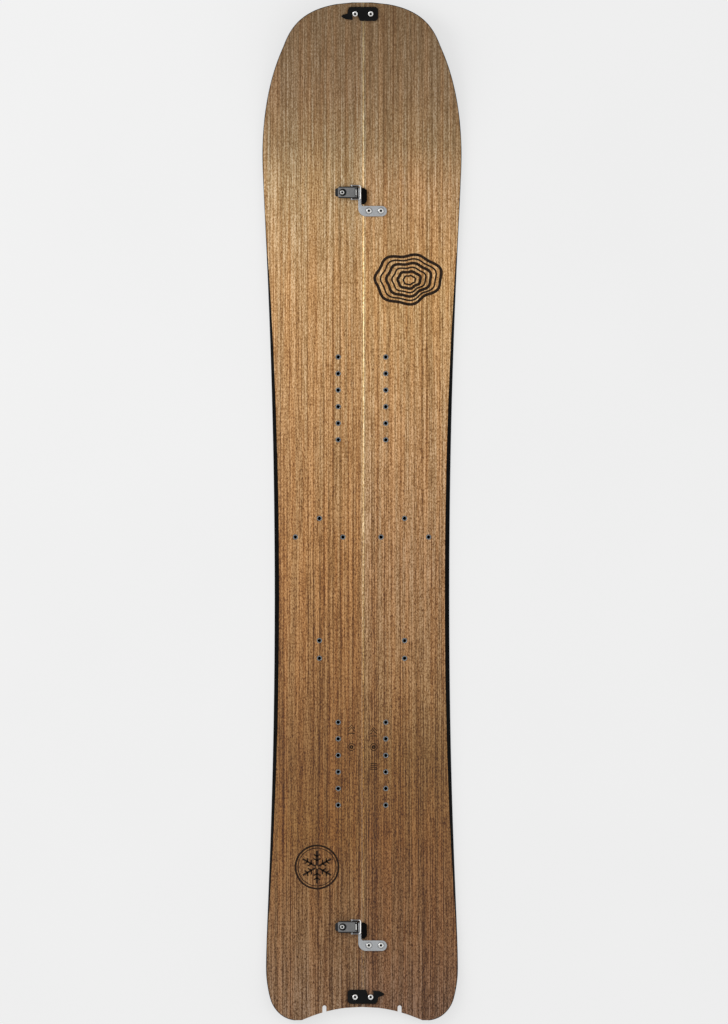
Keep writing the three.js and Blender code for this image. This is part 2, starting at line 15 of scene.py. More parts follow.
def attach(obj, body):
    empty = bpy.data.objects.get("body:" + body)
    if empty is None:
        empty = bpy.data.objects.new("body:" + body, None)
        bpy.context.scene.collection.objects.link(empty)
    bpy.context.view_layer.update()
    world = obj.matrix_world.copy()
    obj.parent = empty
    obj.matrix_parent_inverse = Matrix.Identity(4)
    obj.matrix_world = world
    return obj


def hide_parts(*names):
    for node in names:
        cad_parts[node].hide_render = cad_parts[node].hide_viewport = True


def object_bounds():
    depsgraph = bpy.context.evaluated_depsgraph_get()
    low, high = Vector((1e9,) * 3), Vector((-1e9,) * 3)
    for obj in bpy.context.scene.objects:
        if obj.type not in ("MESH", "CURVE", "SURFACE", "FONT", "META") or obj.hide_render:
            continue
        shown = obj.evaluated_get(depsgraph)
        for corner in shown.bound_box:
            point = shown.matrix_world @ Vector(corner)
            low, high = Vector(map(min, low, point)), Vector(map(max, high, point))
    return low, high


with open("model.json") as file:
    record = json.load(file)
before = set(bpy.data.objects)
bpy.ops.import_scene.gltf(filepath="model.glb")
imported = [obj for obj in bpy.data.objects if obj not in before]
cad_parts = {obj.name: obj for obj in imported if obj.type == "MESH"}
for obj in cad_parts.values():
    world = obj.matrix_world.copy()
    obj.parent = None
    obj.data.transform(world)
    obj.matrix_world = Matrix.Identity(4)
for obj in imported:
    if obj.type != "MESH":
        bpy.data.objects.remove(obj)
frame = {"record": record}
cad_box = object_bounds()
behaviour = frame["record"]["behaviour"]
BODY_OF = {node: body for body, nodes in behaviour["bodies"].items() for node in nodes}
MM = 0.001

# ---- The board's dimensions, in millimetres ----
TIP_Y = cad_box[1].y / MM
NOSE_APEX = TIP_Y + 0.4
NOSE_WIDTH = 152.8
WAIST_WIDTH = 134.0
TAIL_WIDTH = 147.2
LOBE_INNER_X = 94.0
LOBE_OUTER_X = 102.0
SWALLOW_Y = -759.5
SEAM = 0.3
NOSE_CONTACT_Y = 515.0
NOSE_STRAIGHT_Y = 715.0
NOSE_RADIUS = 750.0
TAIL_CONTACT_Y = -672.0
TAIL_STRAIGHT_Y = -700.0
TAIL_RADIUS = 240.0
GAP = 0.05
CORE_GAP = 0.1  # between the core and the sidewalls
SPACER_GAP = 0.2  # between the core and the nose and tail spacers
EDGE_WIDTH = 2.0
EDGE_HEIGHT = 1.9
BASE_THICKNESS = 1.35
EDGE_WRAP_Y = TIP_Y - EDGE_WIDTH - 0.5
BASE_FRONT_Y = EDGE_WRAP_Y - 0.5
BASE_BACK_Y = -TIP_Y + EDGE_WIDTH + 0.6
CORE_BOTTOM = EDGE_HEIGHT + GAP
CORE_THICKNESS = 4.9
NOSE_TIP_CORE = 2.0
TAIL_TIP_CORE = 2.4
LAMINATE = 0.55
TOPSHEET = 0.6
CORE_FRONT_Y = 600.0
CORE_BACK_Y = -700.0
SIDEWALL_WIDTH = 9.0
INNER_SIDEWALL_WIDTH = 2.9
BEVEL_WIDTH = 6.0
BEVEL_CENTRE_Y = -120.0
BEVEL_REACH = 530.0
TOP_TRIM = 0.3
INNER_TRIM = 0.2
VENEER_TRIM = 1.0  # leaves a thin dark line of plastic round the veneer
PITCH = 25.4
BINDING_X = 36.5
FRONT_ROW_Y = 110.1
REAR_ROW_Y = -450.0
ROW_COUNT = 6
TOURING_POINTS = [(65.3, -10.4), (29.2, -39.0), (102.1, -39.0)]
RISER_POINTS = [(65.3, -197.8), (65.3, -224.9)]
INSERT_RADIUS = 3.9
INSERT_BORE = 2.5
INSERT_FLANGE = 1.2
INSERT_SLACK = 0.3
LACQUER_GAP = 0.06  # from the seam to the lacquer on a topsheet's edge
NOTCH_X = 57.6
NOTCH_RADIUS = 3.0
NOTCH_TOP_Y = -757.0
LATCH_Y = {"front": 489.4, "rear": -636.8}
HOOK_Y = {"tip": 763.5, "tail": -744.6}
HOOK_PIVOT_X = 13.3
HOOK_SPAN = 23.9

# ---- Curves and profiles ----
CURVE_STEPS = 160


def bezier(a, b, c, d):
    points = []
    for i in range(CURVE_STEPS + 1):
        t = i / CURVE_STEPS
        weights = ((1 - t) ** 3, 3 * (1 - t) ** 2 * t, 3 * (1 - t) * t * t, t ** 3)
        points.append(tuple(sum(w * p[k] for w, p in zip(weights, (a, b, c, d))) for k in (0, 1)))
    return points


OUTER = (
    bezier((0, NOSE_APEX), (92, NOSE_APEX), (110.1, 739.8), (120, 714.4))
    + bezier((120, 714.4), (124.5, 702.8), (NOSE_WIDTH, 649.3), (NOSE_WIDTH, 545))
    + bezier((NOSE_WIDTH, 545), (NOSE_WIDTH, 489), (WAIST_WIDTH, 249), (WAIST_WIDTH, -130))
    + bezier((WAIST_WIDTH, -130), (WAIST_WIDTH, -457), (TAIL_WIDTH, -624), (TAIL_WIDTH, -700))
    + bezier((TAIL_WIDTH, -700), (TAIL_WIDTH, -720), (143.4, -737), (140.6, -747.5))
    + bezier((140.6, -747.5), (136, -763), (122.5, -778.5), (LOBE_OUTER_X, -TIP_Y))
)
INNER = [(SEAM, NOSE_APEX)] + bezier(
    (SEAM, SWALLOW_Y), (54.7, SWALLOW_Y), (90, -TIP_Y), (LOBE_INNER_X, -TIP_Y))


def offset(curve, distance):
    """The curve moved towards its left as it runs, kept falling in y."""
    moved = []
    for i, (x, y) in enumerate(curve):
        before, after = curve[max(i - 1, 0)], curve[min(i + 1, len(curve) - 1)]
        along = Vector((after[0] - before[0], after[1] - before[1])).normalized()
        point = (x + along.y * distance, y - along.x * distance)
        if not moved or point[1] < moved[-1][1]:
            moved.append(point)
    return moved


def by_height(curve):
    """A function that gives the curve's x at a y."""
    falling = [(-y, x) for x, y in curve]
    keys = [key for key, _ in falling]

    def x_at(y):
        i = bisect_left(keys, -y)
        if i == 0:
            return falling[0][1]
        if i == len(falling):
            return falling[-1][1]
        (k0, x0), (k1, x1) = falling[i - 1], falling[i]
        return x0 + (x1 - x0) * (-y - k0) / max(k1 - k0, 1e-9)

    return x_at


def outline(inset):
    """A function that gives the outer edge's x at a y, set in from the real edge."""
    x_at = by_height(offset(OUTER, inset))
    return lambda y: max(x_at(y), SEAM + 1.5)


def swallow(inset):
    """A function that gives the inner edge's x at a y, along the seam and the swallow tail."""
    return by_height(offset(INNER, -inset))


def bend(distance, straight, radius):
    """Height gained on a curve that runs on straight past a distance."""
    bent = min(distance, straight)
    return bent * bent / (2 * radius) + (distance - bent) * straight / radius


def rise(y):
    """Height of the base's underside above the floor."""
    if y > NOSE_CONTACT_Y:
        return bend(y - NOSE_CONTACT_Y, NOSE_STRAIGHT_Y - NOSE_CONTACT_Y, NOSE_RADIUS)
    if y < TAIL_CONTACT_Y:
        return bend(TAIL_CONTACT_Y - y, TAIL_CONTACT_Y - TAIL_STRAIGHT_Y, TAIL_RADIUS)
    return 0.0


def core(y):
    """The core's thickness, which tapers to both tips."""
    if y > NOSE_CONTACT_Y:
        share = (y - NOSE_CONTACT_Y) / (TIP_Y - NOSE_CONTACT_Y)
        return CORE_THICKNESS + (NOSE_TIP_CORE - CORE_THICKNESS) * share
    if y < TAIL_STRAIGHT_Y:
        share = (TAIL_STRAIGHT_Y - y) / (TIP_Y + TAIL_STRAIGHT_Y)
        return CORE_THICKNESS + (TAIL_TIP_CORE - CORE_THICKNESS) * share
    return CORE_THICKNESS


def core_top(y):
    return CORE_BOTTOM + core(y)


def laminate_bottom(y):
    return core_top(y) + GAP


def topsheet_bottom(y):
    return laminate_bottom(y) + LAMINATE + GAP


def top_of(y):
    return rise(y) + topsheet_bottom(y) + TOPSHEET


FLAT_TOP = top_of(0)


def bevel_width(y):
    """How far the sidewall leans in at a y."""
    share = (y - BEVEL_CENTRE_Y) / BEVEL_REACH
    return BEVEL_WIDTH * max(0.0, 1 - share * share) ** 0.8


def spread(start, stop, count, ease=1.0):
    """Values from start up to stop, closer together at the start for a higher ease."""
    return [start + (stop - start) * (i / count) ** ease for i in range(count)]


STATIONS = (
    [TIP_Y, EDGE_WRAP_Y]
    + spread(BASE_FRONT_Y, NOSE_STRAIGHT_Y, 30, 1.8)
    + spread(NOSE_STRAIGHT_Y, NOSE_CONTACT_Y, 24)
    + spread(NOSE_CONTACT_Y, TAIL_CONTACT_Y, 56)
    + spread(TAIL_CONTACT_Y, TAIL_STRAIGHT_Y, 6)
    + spread(TAIL_STRAIGHT_Y, SWALLOW_Y, 14)
    + [SWALLOW_Y + 0.05]
    + sorted(spread(-TIP_Y, SWALLOW_Y, 26, 1.6), reverse=True)
)


# ---- Meshes ----
class Shape:
    """Vertices in millimetres and faces, gathered from several pieces."""

    def __init__(self):
        self.verts = []
        self.faces = []

    def add(self, verts, faces, matrix=None):
        start = len(self.verts)
        for v in verts:
            self.verts.append(matrix @ Vector(v) if matrix else Vector(v))
        self.faces += [[start + i for i in face] for face in faces]
        return self

    def add_mesh(self, mesh, matrix=None):
        verts = [v.co.copy() for v in mesh.vertices]
        faces = [list(p.vertices) for p in mesh.polygons]
        return self.add(verts, faces, matrix)

    def moved(self, matrix):
        return Shape().add(self.verts, self.faces, matrix)

    def object(self, name, matrix=None):
        place = matrix or Matrix.Identity(4)
        mesh = bpy.data.meshes.new(name)
        mesh.from_pydata([(place @ v) * MM for v in self.verts], [], self.faces)
        obj = bpy.data.objects.new(name, mesh)
        bpy.context.scene.collection.objects.link(obj)
        return obj


SHARP_ANGLE = math.radians(32)


def smooth(obj):
    """Outward faces, smooth shading and sharp edges where two faces meet at an angle."""
    bm = bmesh.new()
    bm.from_mesh(obj.data)
    bmesh.ops.remove_doubles(bm, verts=bm.verts, dist=1e-7)
    bmesh.ops.recalc_face_normals(bm, faces=bm.faces)
    for face in bm.faces:
        face.smooth = True
    for edge in bm.edges:
        edge.smooth = len(edge.link_faces) != 2 or edge.calc_face_angle(0.0) < SHARP_ANGLE
    bm.to_mesh(obj.data)
    bm.free()


def subtract(obj, cutter):
    """Cuts the cutter's shape out of the object and removes the cutter."""
    cut = obj.modifiers.new("cut", "BOOLEAN")
    cut.operation = "DIFFERENCE"
    cut.solver = "EXACT"
    cut.object = cutter
    bpy.context.view_layer.update()
    evaluated = obj.evaluated_get(bpy.context.evaluated_depsgraph_get())
    mesh = bpy.data.meshes.new_from_object(evaluated)
    obj.modifiers.clear()
    obj.data = mesh
    bpy.data.objects.remove(cutter)


def piece(shape_or_object, node, material, suffix="fine", stands_for=True, matrix=None):
    """Finishes a piece: it rides on its node's body and stands for the node."""
    name = node + "_" + suffix
    obj = shape_or_object
    if isinstance(obj, Shape):
        obj = obj.object(name, matrix)
    obj.name = name
    smooth(obj)
    obj.data.materials.clear()
    obj.data.materials.append(material)
    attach(obj, BODY_OF[node])
    if stands_for:
        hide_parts(node)
    return obj


def loop_strip(rings, closed_ends=True):
    """Faces that join rings of equal length, with caps on the first and last."""
    size = len(rings[0])
    verts = [point for ring in rings for point in ring]
    faces = []
    for row in range(len(rings) - 1):
        a, b = row * size, (row + 1) * size
        faces += [[a + k, a + (k + 1) % size, b + (k + 1) % size, b + k] for k in range(size)]
    if closed_ends:
        last = (len(rings) - 1) * size
        faces.append(list(range(size))[::-1])
        faces.append([last + k for k in range(size)])
    return verts, faces


def lathe(profile, segments=40, centre=(0.0, 0.0)):
    """A turned solid about a vertical axis. A profile radius may depend on the angle."""
    shape = Shape()
    rings = []
    for radius, z in profile:
        ring = []
        for i in range(segments):
            angle = 2 * math.pi * i / segments
            r = radius(angle) if callable(radius) else radius
            ring.append((centre[0] + r * math.cos(angle), centre[1] + r * math.sin(angle), z))
        rings.append(ring)
    return shape.add(*loop_strip(rings))


def arc(x, y, radius, start, stop, steps=10):
    """Points round a centre, from one angle to another in degrees."""
    points = []
    for i in range(steps + 1):
        angle = math.radians(start + (stop - start) * i / steps)
        points.append((x + radius * math.cos(angle), y + radius * math.sin(angle)))
    return points


def curve_mesh(splines, half_thickness, bevel, dimensions="2D", radius=0.0):
    """A filled and bevelled plate from closed outlines, or a round wire along an open path."""
    data = bpy.data.curves.new("outline", "CURVE")
    data.dimensions = dimensions
    if dimensions == "2D":
        data.fill_mode = "BOTH"
        data.extrude = half_thickness - bevel
        data.bevel_depth = bevel
        data.offset = -bevel
        data.bevel_resolution = 2
    else:
        data.bevel_depth = radius
        data.bevel_resolution = 5
        data.use_fill_caps = True
    for points in splines:
        spline = data.splines.new("POLY")
        spline.points.add(len(points) - 1)
        for target, point in zip(spline.points, points):
            target.co = (*point, *([0.0] * (3 - len(point))), 1.0)
        spline.use_cyclic_u = dimensions == "2D"
    obj = bpy.data.objects.new("outline", data)
    bpy.context.scene.collection.objects.link(obj)
    bpy.context.view_layer.update()
    evaluated = obj.evaluated_get(bpy.context.evaluated_depsgraph_get())
    mesh = bpy.data.meshes.new_from_object(evaluated)
    bpy.data.objects.remove(obj)
    return mesh


def plate(outlines, bottom, top, bevel=0.3):
    """A flat plate of a plan shape with rounded edges. Outlines after the first are holes."""
    mesh = curve_mesh(outlines, (top - bottom) / 2, bevel)
    return Shape().add_mesh(mesh, Matrix.Translation((0, 0, (top + bottom) / 2)))


def cheek(outlines, back, front, bevel=0.3):
    """A plate that stands along the board, of a side shape in x and z."""
    upright = Matrix.Rotation(math.pi / 2, 4, "X")
    flat = plate(outlines, -(front - back) / 2, (front - back) / 2, bevel)
    return flat.moved(Matrix.Translation((0, (front + back) / 2, 0)) @ upright)


def merged(*shapes):
    whole = Shape()
    for shape in shapes:
        whole.add(shape.verts, shape.faces)
    return whole


def wire(path, radius):
    return Shape().add_mesh(curve_mesh([path], 0, 0, "3D", radius))


def cross_rod(radius, x, z, half, chamfer=0.3):
    """A pin across the latch, with chamfered ends."""
    rod = lathe([(radius - chamfer, -half), (radius, chamfer - half),
                 (radius, half - chamfer), (radius - chamfer, half)], 28)
    return rod.moved(Matrix.Translation((x, 0, z)) @ Matrix.Rotation(math.pi / 2, 4, "X"))


# ---- Materials ----
def srgb(red, green, blue):
    """A linear colour from 8-bit display values."""
    def linear(value):
        v = value / 255
        return v / 12.92 if v <= 0.04045 else ((v + 0.055) / 1.055) ** 2.4
    return (linear(red), linear(green), linear(blue), 1.0)


class Surface:
    """A node material whose textures follow the object's own coordinates."""

    def __init__(self, name, roughness=0.5, metallic=0.0, coat=0.0, coat_roughness=0.1):
        self.material = bpy.data.materials.new(name)
        self.material.use_nodes = True
        self.tree = self.material.node_tree
        self.shader = self.tree.nodes["Principled BSDF"]
        self.shader.inputs["Roughness"].default_value = roughness
        self.shader.inputs["Metallic"].default_value = metallic
        self.shader.inputs["Coat Weight"].default_value = coat
        self.shader.inputs["Coat Roughness"].default_value = coat_roughness
        self.place = self.tree.nodes.new("ShaderNodeTexCoord").outputs["Object"]

    def link(self, source, target):
        self.tree.links.new(source, target)

    def noise(self, scale, detail=3.0, roughness=0.55, distortion=0.0, seed=0.0):
        """Noise whose scale is given for each axis in features per metre."""
        mapping = self.tree.nodes.new("ShaderNodeMapping")
        mapping.inputs["Scale"].default_value = scale
        mapping.inputs["Location"].default_value = (seed, seed * 0.7, seed * 0.3)
        self.link(self.place, mapping.inputs["Vector"])
        texture = self.tree.nodes.new("ShaderNodeTexNoise")
        texture.inputs["Scale"].default_value = 1.0
        texture.inputs["Detail"].default_value = detail
        texture.inputs["Roughness"].default_value = roughness
        texture.inputs["Distortion"].default_value = distortion
        self.link(mapping.outputs["Vector"], texture.inputs["Vector"])
        return texture.outputs["Fac"]

    def ramp(self, source, stops, interpolation="LINEAR"):
        node = self.tree.nodes.new("ShaderNodeValToRGB")
        node.color_ramp.interpolation = interpolation
        elements = node.color_ramp.elements
        while len(elements) < len(stops):
            elements.new(0.5)
        for element, (position, colour) in zip(elements, stops):
            element.position = position
            element.color = colour
        self.link(source, node.inputs["Fac"])
        return node.outputs["Color"]

    def levels(self, source, low, high, to_low=0.0, to_high=1.0):
        node = self.tree.nodes.new("ShaderNodeMapRange")
        node.inputs["From Min"].default_value = low
        node.inputs["From Max"].default_value = high
        node.inputs["To Min"].default_value = to_low
        node.inputs["To Max"].default_value = to_high
        self.link(source, node.inputs["Value"])
        return node.outputs["Result"]

    def math(self, operation, a, b):
        node = self.tree.nodes.new("ShaderNodeMath")
        node.operation = operation
        for socket, value in zip(node.inputs, (a, b)):
            if isinstance(value, (int, float)):
                socket.default_value = value
            else:
                self.link(value, socket)
        return node.outputs["Value"]

    def mix(self, factor, a, b, blend="MIX"):
        node = self.tree.nodes.new("ShaderNodeMix")
        node.data_type = "RGBA"
        node.blend_type = blend
        sockets = {s.identifier: s for s in node.inputs}
        for identifier, value in (("Factor_Float", factor), ("A_Color", a), ("B_Color", b)):
            if isinstance(value, (int, float, tuple)):
                sockets[identifier].default_value = value
            else:
                self.link(value, sockets[identifier])
        return {s.identifier: s for s in node.outputs}["Result_Color"]

    def powers(self, value, red, green, blue):
        """A colour whose channels are powers of one value."""
        node = self.tree.nodes.new("ShaderNodeCombineColor")
        for name, power in (("Red", red), ("Green", green), ("Blue", blue)):
            self.link(self.math("POWER", value, power), node.inputs[name])
        return node.outputs["Color"]

    def axis(self, name):
        node = self.tree.nodes.new("ShaderNodeSeparateXYZ")
        self.link(self.place, node.inputs["Vector"])
        return node.outputs[name]

    def finish(self, colour=None, roughness=None, height=None, strength=0.2, distance=0.0002):
        if colour is not None:
            self.link(colour, self.shader.inputs["Base Color"])
        if roughness is not None:
            self.link(roughness, self.shader.inputs["Roughness"])
        if height is not None:
            bump = self.tree.nodes.new("ShaderNodeBump")
            bump.inputs["Strength"].default_value = strength
            bump.inputs["Distance"].default_value = distance
            self.link(height, bump.inputs["Height"])
            self.link(bump.outputs["Normal"], self.shader.inputs["Normal"])
        return self.material


# Veneer tone down the board, from tail to nose, as shares of its length. It is partly the veneer's own
# colour and partly painted light: lighter from the middle to the front, darker towards both tips.
VENEER_TONE_AND_LIGHT = {
    "left": [
        (0.0, srgb(121, 91, 63)), (0.08, srgb(121, 87, 53)), (0.18, srgb(122, 82, 38)),
        (0.26, srgb(124, 84, 42)), (0.32, srgb(138, 96, 52)), (0.45, srgb(159, 115, 68)),
        (0.58, srgb(171, 130, 84)), (0.72, srgb(185, 145, 98)), (0.82, srgb(172, 142, 102)),
        (0.86, srgb(146, 119, 84)), (0.91, srgb(132, 104, 73)), (1.0, srgb(114, 90, 62)),
    ],
    "right": [
        (0.0, srgb(109, 79, 56)), (0.08, srgb(118, 82, 49)), (0.18, srgb(118, 79, 39)),
        (0.26, srgb(121, 85, 44)), (0.32, srgb(141, 103, 62)), (0.45, srgb(156, 118, 79)),
        (0.58, srgb(174, 134, 90)), (0.72, srgb(183, 143, 93)), (0.82, srgb(173, 137, 97)),
        (0.86, srgb(146, 118, 83)), (0.91, srgb(133, 106, 75)), (1.0, srgb(114, 90, 62)),
    ],
}

# Painted light beside the seam: shares of a 20 mm span, with a pale line of painted highlight and a
# dark line of painted shade.
SEAM_HIGHLIGHT_AND_SHADE = [
    (0.0, (1, 1, 1, 1)), (0.46, (1.15, 1.17, 1.15, 1)), (0.54, (1.7, 2.0, 2.15, 1)),
    (0.67, (0.62, 0.66, 0.66, 1)), (0.76, (1, 1, 1, 1)),
]


def veneer(side):
    """Straight-grained clear-coated veneer with a painted highlight and a painted shade line along the
    seam, and a tone down the board that is partly painted light. Its grain is deeper at the tail.
    """
    s = Surface("veneer_" + side, roughness=0.5, coat=0.06, coat_roughness=0.25)
    s.shader.inputs["Specular IOR Level"].default_value = 0.3
    seed = 3.0 if side == "left" else 11.0
    # The tone down the board is partly painted light.
    tone = s.ramp(s.levels(s.axis("Y"), -TIP_Y * MM, TIP_Y * MM), VENEER_TONE_AND_LIGHT[side])
    bands = s.levels(s.noise((80, 0.5, 1), 2, seed=seed), 0.3, 0.7, 0.94, 1.06)
    streaks = s.levels(s.noise((600, 1.5, 1), 2, 0.6, seed=seed + 1), 0.34, 0.66, 0.56, 1.5)
    fibres = s.levels(s.noise((740, 26, 1), 2, 0.7, seed=seed + 2), 0.34, 0.66, 0.58, 1.46)
    speckle = s.levels(s.noise((640, 300, 1), 2, 0.8, seed=seed + 3), 0.34, 0.66, 0.42, 1.62)
    pores = s.levels(s.noise((700, 150, 1), 1, 0.6, seed=seed + 4), 0.60, 0.70, 1.0, 0.55)
    veins = s.levels(s.noise((420, 0.9, 1), 0, 0.5, seed=seed + 6), 0.66, 0.72, 1.0, 0.62)
    shade = s.math("MULTIPLY", s.math("MULTIPLY", bands, streaks), s.math("MULTIPLY", fibres, veins))
    shade = s.math("MULTIPLY", shade, s.math("MULTIPLY", speckle, pores))
    depth = s.levels(s.axis("Y"), -TIP_Y * MM, TIP_Y * MM, 1.52, 0.85)
    shade = s.math("ADD", s.math("MULTIPLY", s.math("SUBTRACT", shade, 1.0), depth), 1.0)
    shade = s.math("MINIMUM", s.math("MAXIMUM", shade, 0.16), 2.0)
    grain = s.powers(shade, 0.75, 1.0, 1.5)
    colour = s.mix(1.0, s.mix(1.0, tone, grain, "MULTIPLY"), (1.03, 1.03, 0.98, 1), "MULTIPLY")
    warm = s.levels(s.noise((160, 3.0, 1), 2, seed=seed + 5), 0.42, 0.62, 0.0, 0.7)
    warmed = s.mix(warm, colour, s.mix(1.0, colour, (1.10, 0.94, 0.76, 1.0), "MULTIPLY"))
    # Painted highlight and painted shade along the seam.
    line = s.ramp(s.levels(s.axis("X"), -0.01, 0.01), SEAM_HIGHLIGHT_AND_SHADE, "CONSTANT")
    edged = s.mix(1.0, warmed, line, "MULTIPLY")
    rough = s.levels(fibres, 0.7, 1.3, 0.58, 0.44)
    return s.finish(edged, rough, s.math("MULTIPLY", pores, fibres), 0.25, 0.0001)


def black_plastic(name, value, lengthwise, specular):
    """Satin plastic with tool lines and slight mottling."""
    s = Surface(name, roughness=0.5)
    s.shader.inputs["Specular IOR Level"].default_value = specular
    lines = s.noise((2600, 12, 2600) if lengthwise else (900, 900, 900), 3)
    mottle = s.noise((60, 60, 60), 3, seed=5)
    dark, light = (value * 0.7,) * 3 + (1,), (value * 1.8,) * 3 + (1,)
    colour = s.ramp(mottle, [(0.3, dark), (0.7, light)])
    return s.finish(colour, s.levels(lines, 0.3, 0.7, 0.42, 0.62), lines, 0.15, 0.00005)


def sintered_base():
    """Ground and waxed running base, with its fine lengthwise structure."""
    s = Surface("sintered_base", roughness=0.4)
    structure = s.noise((1800, 5, 1), 2)
    cloud = s.noise((18, 8, 1), 4, seed=2)
    colour = s.ramp(cloud, [(0.3, (0.012, 0.0125, 0.014, 1)), (0.7, (0.028, 0.029, 0.032, 1))])
    return s.finish(colour, s.levels(structure, 0.3, 0.7, 0.3, 0.5), structure, 0.3, 0.00005)


def metal(name, colour, roughness, grain, scratches=0.12):
    """Metal with fine grinding lines and patches of wear."""
    s = Surface(name, roughness=roughness, metallic=1.0)
    lines = s.noise(grain, 3, 0.6)
    patches = s.noise((90, 90, 90), 3, seed=7)
    dark = tuple(c * 0.78 for c in colour[:3]) + (1,)
    tint = s.ramp(s.mix(0.5, lines, patches), [(0.3, dark), (0.7, colour)])
    rough = s.levels(lines, 0.3, 0.7, roughness - scratches, roughness + scratches)
    return s.finish(tint, rough, lines, 0.12, 0.00003)


def bail_steel():
    """Grey wire, painted bright on the bar that hooks over the catch as a painted highlight."""
    s = Surface("bail_steel", roughness=0.26, metallic=1.0)
    lines = s.noise((1500, 200, 1500), 3)
    grey = s.ramp(lines, [(0.3, (0.22, 0.22, 0.23, 1)), (0.7, (0.34, 0.34, 0.35, 1))])
    # Painted highlight on the bar that hooks over the catch.
    painted_highlight = s.levels(s.axis("X"), -0.0055, -0.0035)
    return s.finish(s.mix(painted_highlight, grey, (0.95, 0.94, 0.92, 1)), None, lines, 0.12, 0.00003)


def glass_laminate():
    """Cured glass cloth: crossed threads under yellowish resin."""
    s = Surface("glass_laminate", roughness=0.45)
    weave = s.mix(0.5, s.noise((900, 40, 900), 1), s.noise((40, 900, 40), 1, seed=4))
    colour = s.ramp(weave, [(0.35, srgb(150, 142, 96)), (0.65, srgb(196, 188, 142))])
    return s.finish(colour, None, weave, 0.2, 0.00005)


def core_wood():
    """Laminated core: pale lengthwise stringers with fine grain."""
    s = Surface("core_wood", roughness=0.7)
    stringers = s.noise((70, 0.3, 1), 0)
    grain = s.noise((900, 8, 300), 3, seed=6)
    colour = s.ramp(s.mix(0.5, stringers, grain),
                    [(0.35, srgb(178, 140, 92)), (0.65, srgb(220, 190, 142))])
    return s.finish(colour, None, grain, 0.2, 0.0001)


def print_ink():
    """Matt dark brown screen print, thin enough for the grain to break it up."""
    s = Surface("print_ink", roughness=0.8)
    s.shader.inputs["Specular IOR Level"].default_value = 0.1
    wear = s.noise((500, 14, 1), 3, seed=9)
    colour = s.ramp(wear, [(0.3, srgb(24, 17, 13)), (0.75, srgb(54, 39, 28))])
    return s.finish(colour, None, wear, 0.2, 0.00003)


MATERIAL = {
    "edge": metal("edge_steel", (0.36, 0.37, 0.39, 1), 0.36, (2200, 14, 2200)),
    "steel": metal("fastener_steel", (0.9, 0.9, 0.88, 1), 0.22, (700, 700, 700), 0.06),
    "insert": metal("insert_steel", (0.42, 0.45, 0.47, 1), 0.3, (700, 700, 700), 0.06),
    "bail": bail_steel(),
    "aluminium": metal("bracket_aluminium", (0.5, 0.515, 0.53, 1), 0.42, (260, 1400, 260)),
    "lever": metal("lever_anodised", (0.235, 0.235, 0.235, 1), 0.4, (200, 1500, 200)),
    # A darker copy of the lever's metal: painted shade on the lever's sides, thumb tab and base plate.
    "lever_sides": metal("lever_sides", (0.035, 0.036, 0.038, 1), 0.45, (200, 1500, 200)),
    "plastic": black_plastic("black_plastic", 0.002, True, 0.03),
    "hook": black_plastic("hook_plastic", 0.003, False, 0.1),
    # Painted shade for the hollow of each screw's socket.
    "socket": black_plastic("socket_painted_shade", 0.003, False, 0.1),
    "base": sintered_base(),
    "glass": glass_laminate(),
    "core": core_wood(),
    "ink": print_ink(),
    "veneer_left": veneer("left"),
    "veneer_right": veneer("right"),
}


# ---- Board layers ----
def strip(side, front, back, section):
    """A layer from nose to tail. section(y) gives its corners as (x, z) above the rise."""
    inside = [y for y in STATIONS if back + 0.02 < y < front - 0.02]
    rings = []
    for y in [front, *inside, back]:
        rings.append([(x * side, y, z + rise(y)) for x, z in section(y)])
    return Shape().add(*loop_strip(rings))


def rounded(inner, outer, bottom, top, radius, lean=0.0):
    """A four-sided section whose two upper corners are rounded."""
    r = min(radius, (outer - lean - inner) / 3)
    return [
        (inner, bottom),
        (outer, bottom),
        (outer - lean, top - r),
        (outer - lean - 0.3 * r, top - 0.3 * r),
        (outer - lean - r, top),
        (inner + r, top),
        (inner + 0.3 * r, top - 0.3 * r),
        (inner, top - r),
    ]


def layer(side, front, back, inner, outer, bottom, top, radius=0.02):
    """A strip whose limits are functions of y."""
    return strip(side, front, back,
                 lambda y: rounded(inner(y), outer(y), bottom(y), top(y), radius))


def constant(value):
    return lambda y: value


def skin_notch(side):
    """The slot for a skin's tail clip, as a cutter."""
    x = side * NOTCH_X
    centre = NOTCH_TOP_Y - NOTCH_RADIUS
    behind = centre - 40  # well past the tail
    round_end = arc(x, centre, NOTCH_RADIUS, 0, 180, 16)
    points = [(x + NOTCH_RADIUS, behind), *round_end, (x - NOTCH_RADIUS, behind)]
    rings = [[(px, py, z) for px, py in points] for z in (-5, 60)]
    return Shape().add(*loop_strip(rings))


def cylinder(radius, x, y, bottom, top, segments=40):
    return lathe([(radius, bottom), (radius, top)], segments, (x, y))


def insert_sets(side):
    """Each set's insert centres, and the pairs of points that its flanges join."""
    front = [(side * BINDING_X, FRONT_ROW_Y + i * PITCH) for i in range(ROW_COUNT)]
    rear = [(side * BINDING_X, REAR_ROW_Y + i * PITCH) for i in range(ROW_COUNT)]
    apex, inner, outer = [(side * x, y) for x, y in TOURING_POINTS]
    riser = [(side * x, y) for x, y in RISER_POINTS]
    return {
        "front_binding_inserts": (front, [(front[0], front[-1])]),
        "rear_binding_inserts": (rear, [(rear[0], rear[-1])]),
        "touring_inserts": ([apex, inner, outer], [(inner, outer), (apex, (apex[0], inner[1]))]),
        "riser_inserts": (riser, [tuple(riser)]),
    }


def bar(ends, margin, bottom, top):
    """A bar between two points on a row, as a shape."""
    (ax, ay), (bx, by) = ends
    x0, x1 = min(ax, bx) - margin, max(ax, bx) + margin
    y0, y1 = min(ay, by) - margin, max(ay, by) + margin
    rings = [[(x0, y0, z), (x1, y0, z), (x1, y1, z), (x0, y1, z)] for z in (bottom, top)]
    return Shape().add(*loop_strip(rings))


THREAD_TURNS = 5
COUNTERSINK = 0.9


